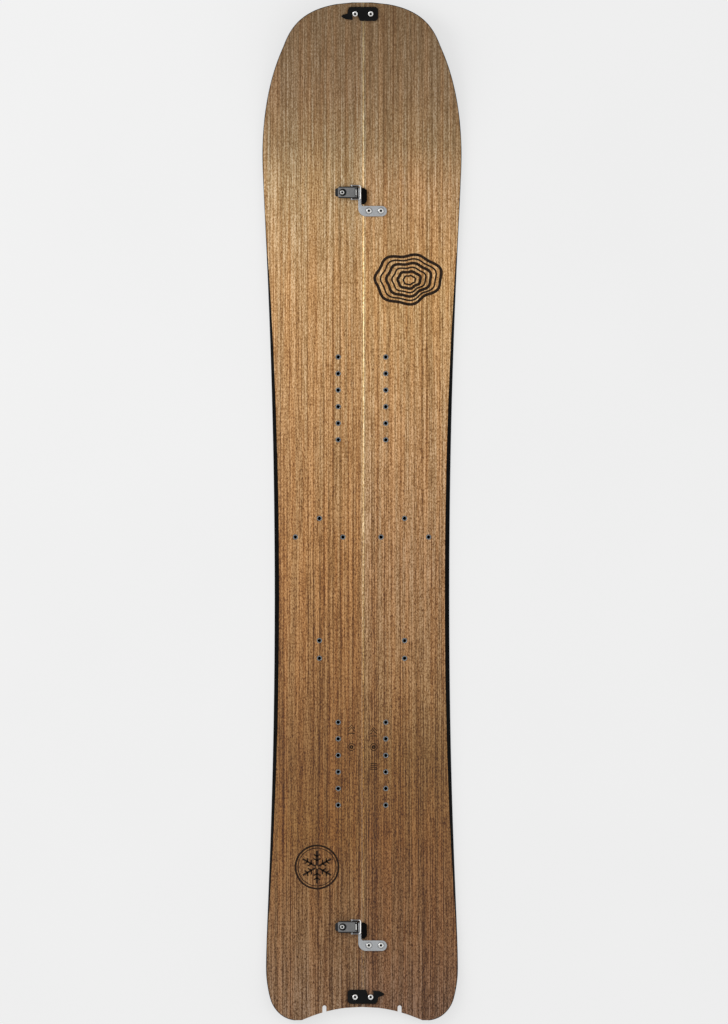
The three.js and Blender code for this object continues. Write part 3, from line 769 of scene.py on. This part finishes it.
def insert_barrel(x, y):
    """A threaded insert: a barrel with a countersunk, grooved bore."""
    bottom, top = CORE_BOTTOM + GAP, FLAT_TOP - 0.1
    floor = bottom + INSERT_FLANGE
    profile = [(INSERT_RADIUS, bottom), (INSERT_RADIUS, top - 0.2), (INSERT_RADIUS - 0.2, top),
               (INSERT_BORE + COUNTERSINK, top)]
    for i in range(THREAD_TURNS * 2):
        z = top - COUNTERSINK - (top - COUNTERSINK - floor) * i / (THREAD_TURNS * 2)
        profile.append((INSERT_BORE if i % 2 == 0 else INSERT_BORE + 0.3, z))
    profile += [(INSERT_BORE, floor), (0.01, floor)]
    return lathe(profile, 32, (x, y))


def hook_frame(end):
    """Where a hook stands: on the topsheet, square to it, the tail's turned half round."""
    y = HOOK_Y[end]
    slope = math.atan((top_of(y + 5) - top_of(y - 5)) / 10)
    x = HOOK_PIVOT_X if end == "tip" else HOOK_PIVOT_X - HOOK_SPAN
    turn = 0.0 if end == "tip" else math.pi
    return (Matrix.Translation((x, y, top_of(y))) @ Matrix.Rotation(slope, 4, "X")
            @ Matrix.Rotation(turn, 4, "Z"))


LATCH_SCREWS = {"base": (-30.2, 0.0), "bracket_inner": (10.6, -28.2), "bracket_outer": (29.1, -28.2)}
LATCH_SCREW_DEPTH = 5.0
SCREW_HOLE = 2.0


def fitting_holes():
    """Cutters for the screws of the hooks and latches."""
    holes = Shape()
    for end in HOOK_Y:
        for x in (0.0, -HOOK_SPAN):
            hole = cylinder(SCREW_HOLE, x, 0, -4.5, 3, 24).moved(hook_frame(end))
            holes.add(hole.verts, hole.faces)
    for y in LATCH_Y.values():
        for x, down in LATCH_SCREWS.values():
            bottom = FLAT_TOP - LATCH_SCREW_DEPTH - 0.4
            hole = cylinder(SCREW_HOLE, x, y + down, bottom, FLAT_TOP + 2, 24)
            holes.add(hole.verts, hole.faces)
    return holes


def cut_piece(shape, cutters, node, material):
    """A piece with every cutter's shape taken out of it."""
    obj = shape.object(node)
    for cutter in cutters:
        subtract(obj, cutter.object("cutter"))
    return piece(obj, node, material)


def build_half(side):
    """The layers and inserts of the left (-1) or right (1) half."""
    name = "right" if side > 0 else "left"
    notch = skin_notch(side)
    sets = insert_sets(side)
    points = [point for barrels, _ in sets.values() for point in barrels]
    bars = [ends for _, joins in sets.values() for ends in joins]
    holes = merged(*[cylinder(INSERT_RADIUS + INSERT_SLACK, x, y, FLAT_TOP - 0.9, FLAT_TOP + 1)
                     for x, y in points])
    slot_margin = INSERT_RADIUS + 1 + INSERT_SLACK
    slots = [bar(ends, slot_margin, CORE_BOTTOM - 1, FLAT_TOP - TOPSHEET) for ends in bars]
    seam = constant(SEAM)
    inner_edge = SEAM + EDGE_WIDTH
    outer_curve, edge_curve = outline(0), outline(EDGE_WIDTH)
    past_swallow = swallow(0.4)

    def past_edge(y):
        return max(inner_edge + 0.1, past_swallow(y))

    def edge_inside(y):
        return SEAM if y >= EDGE_WRAP_Y else min(edge_curve(y), outer_curve(y) - 1)

    piece(layer(side, TIP_Y, -TIP_Y, edge_inside, outer_curve,
                constant(0), constant(EDGE_HEIGHT)), name + "_outer_edge", MATERIAL["edge"])
    piece(layer(side, BASE_FRONT_Y - 0.8, SWALLOW_Y + 1, seam, constant(inner_edge),
                constant(0), constant(EDGE_HEIGHT)), name + "_inner_edge", MATERIAL["edge"])

    inside_curve = outline(EDGE_WIDTH + 0.15)

    def base_outer(y):
        return max(inside_curve(y), past_edge(y) + 1)

    cut_piece(layer(side, BASE_FRONT_Y, BASE_BACK_Y, past_edge, base_outer,
                    constant(0), constant(BASE_THICKNESS)), [notch],
              name + "_base", MATERIAL["base"])
    cut_piece(layer(side, BASE_FRONT_Y, BASE_BACK_Y, past_edge, base_outer,
                    constant(BASE_THICKNESS + GAP), constant(EDGE_HEIGHT)), [notch],
              name + "_lower_laminate", MATERIAL["glass"])

    core_inner = SEAM + INNER_SIDEWALL_WIDTH + CORE_GAP
    cut_piece(layer(side, CORE_FRONT_Y, CORE_BACK_Y, constant(core_inner),
                    lambda y: outer_curve(y) - SIDEWALL_WIDTH - CORE_GAP,
                    constant(CORE_BOTTOM), core_top), slots,
              name + "_core", MATERIAL["core"])
    piece(layer(side, CORE_FRONT_Y, CORE_BACK_Y, seam, constant(SEAM + INNER_SIDEWALL_WIDTH),
                constant(CORE_BOTTOM), core_top), name + "_inner_sidewall", MATERIAL["plastic"])

    def sidewall_section(y):
        outer = outer_curve(y)
        return rounded(outer - SIDEWALL_WIDTH, outer - TOP_TRIM, CORE_BOTTOM, core_top(y),
                       0.02, bevel_width(y))

    piece(strip(side, CORE_FRONT_Y, CORE_BACK_Y, sidewall_section),
          name + "_outer_sidewall", MATERIAL["plastic"])

    trimmed, trimmed_inner = outline(TOP_TRIM), swallow(INNER_TRIM)
    tip_front, tip_back = TIP_Y - TOP_TRIM, -TIP_Y + TOP_TRIM
    piece(layer(side, tip_front, CORE_FRONT_Y + SPACER_GAP, seam, trimmed,
                constant(CORE_BOTTOM), core_top), name + "_nose_spacer", MATERIAL["plastic"])
    cut_piece(layer(side, CORE_BACK_Y - SPACER_GAP, tip_back, trimmed_inner, trimmed,
                    constant(CORE_BOTTOM), core_top), [notch],
              name + "_tail_spacer", MATERIAL["plastic"])

    top_curve = outline(VENEER_TRIM)

    def beveled(y):
        return top_curve(y) - bevel_width(y)

    cut_piece(layer(side, tip_front, tip_back, trimmed_inner, beveled, laminate_bottom,
                    lambda y: laminate_bottom(y) + LAMINATE), [notch, *slots],
              name + "_upper_laminate", MATERIAL["glass"])

    def lacquered(y):
        return max(trimmed_inner(y) - SEAM - INNER_TRIM + LACQUER_GAP, LACQUER_GAP)

    cut_piece(layer(side, tip_front, tip_back, lacquered, beveled, topsheet_bottom,
                    lambda y: topsheet_bottom(y) + TOPSHEET, 0.1),
              [notch, holes, fitting_holes()],
              name + "_topsheet", MATERIAL["veneer_" + name])

    for set_name, (barrels, joins) in sets.items():
        flange_top = CORE_BOTTOM + GAP + INSERT_FLANGE
        flanges = [bar(ends, INSERT_RADIUS + 1, CORE_BOTTOM + GAP, flange_top) for ends in joins]
        shape = merged(*flanges, *[insert_barrel(x, y) for x, y in barrels])
        piece(shape, name + "_" + set_name, MATERIAL["insert"])


# ---- Screws ----
def hexagon(flat_radius):
    """A lathe radius that makes six flat sides."""
    sector = math.pi / 3
    return lambda angle: flat_radius / math.cos(angle % sector - sector / 2)


def screw(depth, head_radius, head_height):
    """A button-head screw with a hexagonal socket. Its origin is under the head."""
    shank = 1.5
    socket = hexagon(head_radius * 0.42)
    profile = [(0.3, -depth), (shank, 0.6 - depth), (shank, 0), (head_radius - 0.15, 0),
               (head_radius, 0.15)]
    crown = head_height - 0.3
    socket_bottom = 0.15
    for i in range(1, 7):
        angle = math.radians(75 * i / 6)
        profile.append((head_radius * (0.62 + 0.38 * math.cos(angle)), 0.3 + crown * math.sin(angle)))
    profile += [(head_radius * 0.56, head_height), (socket, head_height - 0.1),
                (socket, socket_bottom), (0.01, socket_bottom - 1.2)]
    return lathe(profile, 48)


def painted_socket_shade(head_radius, head_height):
    """Painted shade in a screw's socket: a dark lining just inside the hollow."""
    outside = hexagon(head_radius * 0.4)

    def inside(angle):
        return outside(angle) - 0.15

    top, floor = head_height - 0.25, 0.2
    return lathe([(outside, floor), (outside, top), (inside, top), (inside, floor + 0.2),
                  (0.01, floor + 0.15)], 48)


def add_screw(node, depth, head_radius, matrix):
    """A screw and the painted shade in its socket, with the origin under the head."""
    height = head_radius / 2
    piece(screw(depth, head_radius, height), node, MATERIAL["steel"], matrix=matrix)
    # The dark lining is painted shade in the socket.
    piece(painted_socket_shade(head_radius, height), node, MATERIAL["socket"], "socket", False, matrix)


# ---- Hooks ----
HOOK_HEAD = 3.7
HOOK_SCREW_RADIUS = 4.4


def quadratic(a, control, b, steps=8):
    points = []
    for i in range(1, steps + 1):
        t = i / steps
        points.append(tuple((1 - t) ** 2 * a[k] + 2 * (1 - t) * t * control[k] + t * t * b[k]
                            for k in (0, 1)))
    return points


def hook_outline():
    left, right, front, back, corner = -35.2, 11.4, 10.2, -11.6, 5.5
    slot_left, slot_radius, mouth_right = -27.9, 3.5, -17.2
    beak_tip, beak_back = (-45.0, -4.4), -10.2
    points = [(mouth_right, beak_back)]
    points += quadratic((mouth_right, beak_back), (mouth_right, back), (mouth_right + 3, back))
    points += arc(right - corner, back + corner, corner, -90, 0)
    points += arc(right - corner, front - corner, corner, 0, 90)
    points.append((left + corner, front))
    points += quadratic((left + corner, front), (left + 0.8, front), (left, 2))
    points += quadratic((left, 2), (left - 0.4, -0.8), (left - 2.5, -1))
    points += quadratic((left - 2.5, -1), (-42, -1.6), beak_tip)
    points += quadratic(beak_tip, (-42.5, -8), (left - 1.5, -9.2))
    points.append((slot_left, beak_back))
    points += arc(slot_left + slot_radius, 0, slot_radius, 180, 0)
    return points


def build_hook(end):
    place = hook_frame(end)
    name = end + "_hook"
    eye = arc(0, 0, 2.0, 0, 345, 23)
    body = plate([hook_outline(), eye], 0.3, 3.0, 0.45)
    rim = plate([arc(0, 0, 7.2, 0, 352, 44), arc(0, 0, 5.2, 0, 352, 44)], 2.6, 3.3, 0.2)
    ribs = [plate([[(x, -6.5), (x + 1.2, -6.5), (x + 1.2, -3.2), (x, -3.2)]], 2.6, 3.3, 0.2)
            for x in (-42.0, -39.6, -37.2)]
    piece(merged(body, rim, *ribs), name, MATERIAL["hook"], matrix=place)
    up = Matrix.Translation((0, 0, HOOK_HEAD))
    across = Matrix.Translation((-HOOK_SPAN, 0, HOOK_HEAD))
    depth = HOOK_HEAD + 2.8
    add_screw(name + "_pivot_screw", depth, HOOK_SCREW_RADIUS, place @ up)
    add_screw(name + "_post_screw", depth, HOOK_SCREW_RADIUS, place @ across)
    bush = lathe([(1.75, 0.1), (2.5, 0.1), (2.5, HOOK_HEAD - 0.1), (1.75, HOOK_HEAD - 0.1),
                  (1.75, 0.1)], 32)
    bush.faces = bush.faces[:-2]
    piece(bush, name + "_post_bush", MATERIAL["steel"],
          matrix=place @ Matrix.Translation((-HOOK_SPAN, 0, 0)))


# ---- Latches ----
LEVER_LEFT, LEVER_WIDTH, LEVER_BOTTOM, LEVER_PLATE, LEVER_TOP = -36.8, 9.0, 2.2, 7.2, 8.7
TAB_LEFT, TAB_WIDTH = -41.2, 6.4
GRIP_RIBS, GRIP_PITCH, GRIP_WIDTH = 4, 2.3, 5.0
HINGE_X, HINGE_Z, EAR_RADIUS, AXLE_RADIUS = -9.4, 4.7, 2.3, 1.2
PIN_X, PIN_Z, BAR_X, BAR_Z, WIRE = -15.6, 4.7, -2.4, 4.2, 1.1
BAIL_MIDDLE = 10.4
BRACKET_BOTTOM, BRACKET_TOP = 0.2, 2.3
WELL_DEPTH = 1.1  # of the shallow well round each bracket screw


def lever_shapes():
    """The lever's top, and its sides and thumb tab, which are drawn darker as painted shade."""
    radius = LEVER_TOP - HINGE_Z
    start = 180 + math.degrees(math.asin((HINGE_Z - LEVER_BOTTOM) / radius))
    side = [(LEVER_LEFT + 4, LEVER_BOTTOM)]
    side += arc(HINGE_X, HINGE_Z, radius, start, 425, 30)
    side += [(HINGE_X - 2, LEVER_TOP - 0.5), (LEVER_LEFT + 1.2, LEVER_TOP - 0.9),
             (LEVER_LEFT + 1, LEVER_PLATE - 1)]
    pin_holes = [arc(HINGE_X, HINGE_Z, AXLE_RADIUS + 0.15, 0, 345, 23),
                 arc(PIN_X, PIN_Z, WIRE + 0.15, 0, 345, 23)]
    right, half = HINGE_X - 1.4, LEVER_WIDTH - 1.7
    top = [(right, -half), (right, half), (LEVER_LEFT, half), (LEVER_LEFT, 3 - half),
           (LEVER_LEFT, -half)]
    slot = arc(-29.6, 0, 5.6, 90, 270, 16) + arc(-29.2, 0, 5.6, -90, 90, 16)
    rim = arc(-29.6, 0, 6.4, 90, 270, 16) + arc(-29.2, 0, 6.4, -90, 90, 16)
    tab = [(LEVER_LEFT + 1, -TAB_WIDTH), (LEVER_LEFT + 1, TAB_WIDTH)]
    tab += arc(TAB_LEFT + 3, TAB_WIDTH - 3, 3, 90, 180) + arc(TAB_LEFT + 3, 3 - TAB_WIDTH, 3, 180, 270)
    sides = merged(plate([tab], LEVER_PLATE - 0.4, LEVER_TOP - 0.7, 0.4),
                   cheek([side, *pin_holes], LEVER_WIDTH - 2, LEVER_WIDTH),
                   cheek([side, *pin_holes], -LEVER_WIDTH, 2 - LEVER_WIDTH))
    parts = [plate([top, slot], LEVER_PLATE, LEVER_TOP - 0.2, 0.35),
             plate([rim, slot], LEVER_TOP - 0.4, LEVER_TOP, 0.15)]
    for i in range(GRIP_RIBS):
        x = right - 1.6 - GRIP_PITCH * i
        rib = [(x - 1, -GRIP_WIDTH), (x, -GRIP_WIDTH), (x, GRIP_WIDTH), (x - 1, GRIP_WIDTH)]
        parts.append(plate([rib], LEVER_TOP - 0.5, LEVER_TOP, 0.12))
    return merged(*parts), sides


def base_plate_shape():
    left, right = -39.4, HINGE_X + 3.2
    flat = [(left + 2, -6.5), (right, -6.5), (right, 6.5), (left + 2, 6.5), (left, 4.5), (left, -4.5)]
    hole = arc(*LATCH_SCREWS["base"], 1.9, 0, 345, 23)
    ear = [(HINGE_X - EAR_RADIUS, 1.0), (HINGE_X + EAR_RADIUS, 1.0)]
    ear += arc(HINGE_X, HINGE_Z, EAR_RADIUS, 0, 180, 16)
    eye = arc(HINGE_X, HINGE_Z, AXLE_RADIUS + 0.15, 0, 345, 23)
    return merged(plate([flat, hole], 0.1, 1.6, 0.25),
                  cheek([ear, eye], 4.6, 6.4, 0.2), cheek([ear, eye], -6.4, -4.6, 0.2))


def bail_shape():
    """A bent wire: two arms from eyes round the pin, and the bar that hooks over the lip."""
    bend_radius = 2.2
    slope = (BAR_Z - PIN_Z) / (BAR_X - PIN_X)

    def lifted(x, y):
        return (x, y, PIN_Z + slope * (x - PIN_X))

    path = [lifted(PIN_X + 2, -BAIL_MIDDLE)]
    path += [lifted(x, y) for x, y in arc(BAR_X - bend_radius, bend_radius - BAIL_MIDDLE,
                                          bend_radius, -90, 0, 6)]
    path += [lifted(x, y) for x, y in arc(BAR_X - bend_radius, BAIL_MIDDLE - bend_radius,
                                          bend_radius, 0, 90, 6)]
    path.append(lifted(PIN_X + 2, BAIL_MIDDLE))
    eye = [arc(PIN_X, PIN_Z, 2.2, 0, 345, 23), arc(PIN_X, PIN_Z, WIRE + 0.1, 0, 345, 23)]
    return merged(wire(path, WIRE), cheek(eye, BAIL_MIDDLE - 1, BAIL_MIDDLE + 1),
                  cheek(eye, -BAIL_MIDDLE - 1, 1 - BAIL_MIDDLE))


def bracket_shape():
    left, right, arm_right, arm_top = -5.6, 38.2, -0.9, 7.0
    foot_top, foot_bottom, corner, fillet = -20.7, -36.8, 12.0, 3.0
    end = (foot_top - foot_bottom) / 2
    points = [(left, arm_top)]
    points += arc(left + corner, foot_bottom + corner, corner, 180, 270, 14)
    points += arc(right - end, foot_bottom + end, end, -90, 90, 20)
    points += arc(arm_right + fillet, foot_top + fillet, fillet, 270, 180, 8)
    points.append((arm_right, arm_top))
    holes = [arc(*LATCH_SCREWS[s], 1.9, 0, 345, 23) for s in ("bracket_inner", "bracket_outer")]
    lip = [(left, -6), (-4.2, -6), (-4.2, 6), (left, 6)]
    wells = [arc(*LATCH_SCREWS[s], 5.3, 0, 352, 44) for s in ("bracket_inner", "bracket_outer")]
    floor = BRACKET_TOP - WELL_DEPTH
    return merged(plate([points, *holes], BRACKET_BOTTOM, floor, 0.1),
                  plate([points, *wells], floor, BRACKET_TOP, 0.3),
                  plate([lip], BRACKET_TOP - 0.5, 4.0, 0.3))


def wedge_shape():
    left, right, top, bottom = -0.4, 7.7, 6.9, -17.9
    points = [(left, top), (left, bottom), (left + 3.4, bottom - 0.8), (right, bottom + 4),
              (right, top - 3.4), (left + 3, top)]
    return plate([points], BRACKET_BOTTOM, 4.6, 0.5)


def build_latch(place):
    spot = Matrix.Translation((0, LATCH_Y[place], FLAT_TOP))
    name = place + "_latch_"

    def add(shape, node, material):
        piece(shape, name + node, MATERIAL[material], matrix=spot)

    # The base plate takes the darker copy of the lever's metal as painted shade round the lever.
    add(base_plate_shape(), "base_plate", "lever_sides")
    add(cross_rod(AXLE_RADIUS, HINGE_X, HINGE_Z, LEVER_WIDTH - 0.1), "lever_axle", "steel")
    lever_top, lever_sides = lever_shapes()
    add(lever_top, "lever", "lever")
    # The lever's sides and thumb tab are painted shade in the darker copy of its metal.
    piece(lever_sides, name + "lever", MATERIAL["lever_sides"], "sides", False, spot)
    add(cross_rod(WIRE, PIN_X, PIN_Z, BAIL_MIDDLE + 1.4), "bail_pin", "steel")
    add(bail_shape(), "bail", "bail")
    add(bracket_shape(), "bracket", "aluminium")
    add(wedge_shape(), "wedge_pad", "plastic")
    for screw_name, radius, height in (("base", 4.0, 1.7), ("bracket_inner", 4.4, BRACKET_TOP + 0.1),
                                       ("bracket_outer", 4.4, BRACKET_TOP + 0.1)):
        x, y = LATCH_SCREWS[screw_name]
        add_screw(name + screw_name + "_screw", LATCH_SCREW_DEPTH + height, radius,
                  spot @ Matrix.Translation((x, y, height)))


# ---- Printed graphics: contour rings, a snow crystal and small marks ----
INK_BOTTOM, INK_TOP = FLAT_TOP + 0.005, FLAT_TOP + 0.04
RINGS_PLACE = (70, 357)
CRYSTAL_PLACE = (-69, -545)


def ribbon(path, width, closed=False):
    """A flat printed line along a path."""
    count = len(path)
    rings = []
    for i, point in enumerate(path):
        before = path[i - 1] if closed or i else path[0]
        after = path[(i + 1) % count] if closed or i < count - 1 else path[-1]
        along = Vector((after[0] - before[0], after[1] - before[1])).normalized() * width / 2
        a, b = (point[0] - along.y, point[1] + along.x), (point[0] + along.y, point[1] - along.x)
        rings.append([(*a, INK_BOTTOM), (*b, INK_BOTTOM), (*b, INK_TOP), (*a, INK_TOP)])
    if closed:
        rings.append(rings[0])
    return Shape().add(*loop_strip(rings, not closed))


def contour_rings(x, y):
    """Nested uneven rings, like height lines on a plain map."""
    rng = random.Random(4)
    waves = [(k, rng.uniform(0.03, 0.11) / k ** 0.4, rng.uniform(0, 2 * math.pi)) for k in (2, 3, 5, 7)]
    lines = []
    for i in range(6):
        size = 44 - 7.2 * i
        path = []
        for step in range(120):
            angle = 2 * math.pi * step / 120
            bulge = 1 + sum(a * math.sin(k * angle + phase) for k, a, phase in waves)
            path.append((x + 1.12 * size * bulge * math.cos(angle) + 0.5 * i,
                         y + 0.86 * size * bulge * math.sin(angle) - 0.4 * i))
        lines.append(ribbon(path, 4.4 if i % 2 == 0 else 2.6, True))
    return merged(*lines)


def snow_crystal(x, y):
    """Six branched arms inside a ring."""
    lines = [ribbon(arc(x, y, 33, 0, 357, 119), 2.8, True),
             ribbon(arc(x, y, 29, 0, 357, 119), 1.2, True)]
    for i in range(6):
        angle = math.radians(60 * i + 30)
        along = Vector((math.cos(angle), math.sin(angle)))
        centre = Vector((x, y))
        lines.append(ribbon([tuple(centre + along * r) for r in (2.5, 25)], 3.0))
        for distance, length in ((10, 6.5), (16.5, 5.5)):
            for turn in (-60, 60):
                branch = Matrix.Rotation(math.radians(turn), 2) @ along
                start = centre + along * distance
                lines.append(ribbon([tuple(start), tuple(start + branch * length)], 2.2))
    return merged(*lines)


def ruled_block(x, y):
    """Four short lines, one above another."""
    return merged(*[ribbon([(x - 5, y + 3 * i), (x + 5, y + 3 * i)], 1.2) for i in range(-2, 2)])


def chevrons(x, y):
    """Two chevrons over a line."""
    lines = [ribbon([(x - 5, foot), (x, foot + 6), (x + 5, foot)], 1.2) for foot in (y, y - 4)]
    return merged(*lines, ribbon([(x - 5, y - 7), (x + 5, y - 7)], 1.2))


def target_mark(x, y):
    """A ring round a smaller, thicker one."""
    return merged(ribbon(arc(x, y, 5.4, 0, 350, 35), 1.0, True),
                  ribbon(arc(x, y, 1.8, 0, 340, 17), 2.2, True))


# ---- Scene ----
FLOOR_GAP = 0.3  # keeps the floor out of the running base's own plane
FLOOR_SIZE = 6000
FLOOR_GLOW = 0.6  # keeps the ground even under the raised nose, as on a light table


def add_floor():
    corners = [(-1, -1), (1, -1), (1, 1), (-1, 1)]
    verts = [(x * FLOOR_SIZE, y * FLOOR_SIZE, -FLOOR_GAP) for x, y in corners]
    floor = Shape().add(verts, [[0, 1, 2, 3]]).object("floor")
    surface = Surface("floor_paper", roughness=0.9)
    surface.shader.inputs["Specular IOR Level"].default_value = 0.0
    surface.shader.inputs["Emission Color"].default_value = (1, 1, 1, 1)
    surface.shader.inputs["Emission Strength"].default_value = FLOOR_GLOW
    tone = surface.ramp(surface.noise((3, 3, 3), 2), [(0.3, (0.265, 0.265, 0.265, 1)),
                                                     (0.7, (0.275, 0.275, 0.275, 1))])
    floor.data.materials.append(surface.finish(tone))


def add_light(name, place, size, power, target=(0, 0, 0)):
    data = bpy.data.lights.new(name, "AREA")
    data.shape = "RECTANGLE"
    data.size, data.size_y = size
    data.energy = power
    light = bpy.data.objects.new(name, data)
    light.location = place
    light.rotation_euler = (Vector(target) - Vector(place)).to_track_quat("-Z", "Y").to_euler()
    light.visible_camera = False
    bpy.context.scene.collection.objects.link(light)


CAMERA_HEIGHT = 40.0
SENSOR_WIDTH = 36
VIEW_HEIGHT = 1.5704  # metres of board that the picture's height takes in
PICTURE_SHIFT = (0.0031, -0.0006)  # the board lies a little left of the picture's middle


def add_camera():
    data = bpy.data.cameras.new("camera")
    data.sensor_width = SENSOR_WIDTH
    data.lens = SENSOR_WIDTH * CAMERA_HEIGHT / VIEW_HEIGHT
    data.clip_end = 200
    camera = bpy.data.objects.new("camera", data)
    camera.location = (*PICTURE_SHIFT, CAMERA_HEIGHT)
    bpy.context.scene.collection.objects.link(camera)
    bpy.context.scene.camera = camera


def add_world():
    world = bpy.data.worlds.new("studio")
    world.use_nodes = True
    world.node_tree.nodes["Background"].inputs["Color"].default_value = (1, 1, 1, 1)
    world.node_tree.nodes["Background"].inputs["Strength"].default_value = 0.76
    bpy.context.scene.world = world


build_half(-1)
build_half(1)
build_hook("tip")
build_hook("tail")
build_latch("front")
build_latch("rear")
piece(contour_rings(*RINGS_PLACE), "right_topsheet", MATERIAL["ink"], "rings", False)
piece(snow_crystal(*CRYSTAL_PLACE), "left_topsheet", MATERIAL["ink"], "crystal", False)
piece(merged(chevrons(18, -337), target_mark(18, -361), ruled_block(18, -389)),
      "right_topsheet", MATERIAL["ink"], "small_marks", False)
piece(merged(chevrons(-16, -333), target_mark(-16, -361)),
      "left_topsheet", MATERIAL["ink"], "small_marks", False)
add_floor()
add_light("key", (-3.0, 1.4, 2.2), (1.4, 3.0), 56)
add_light("fill", (3.2, -0.8, 2.4), (1.6, 3.2), 14)
add_camera()
add_world()
bpy.context.scene.view_settings.view_transform = "Standard"
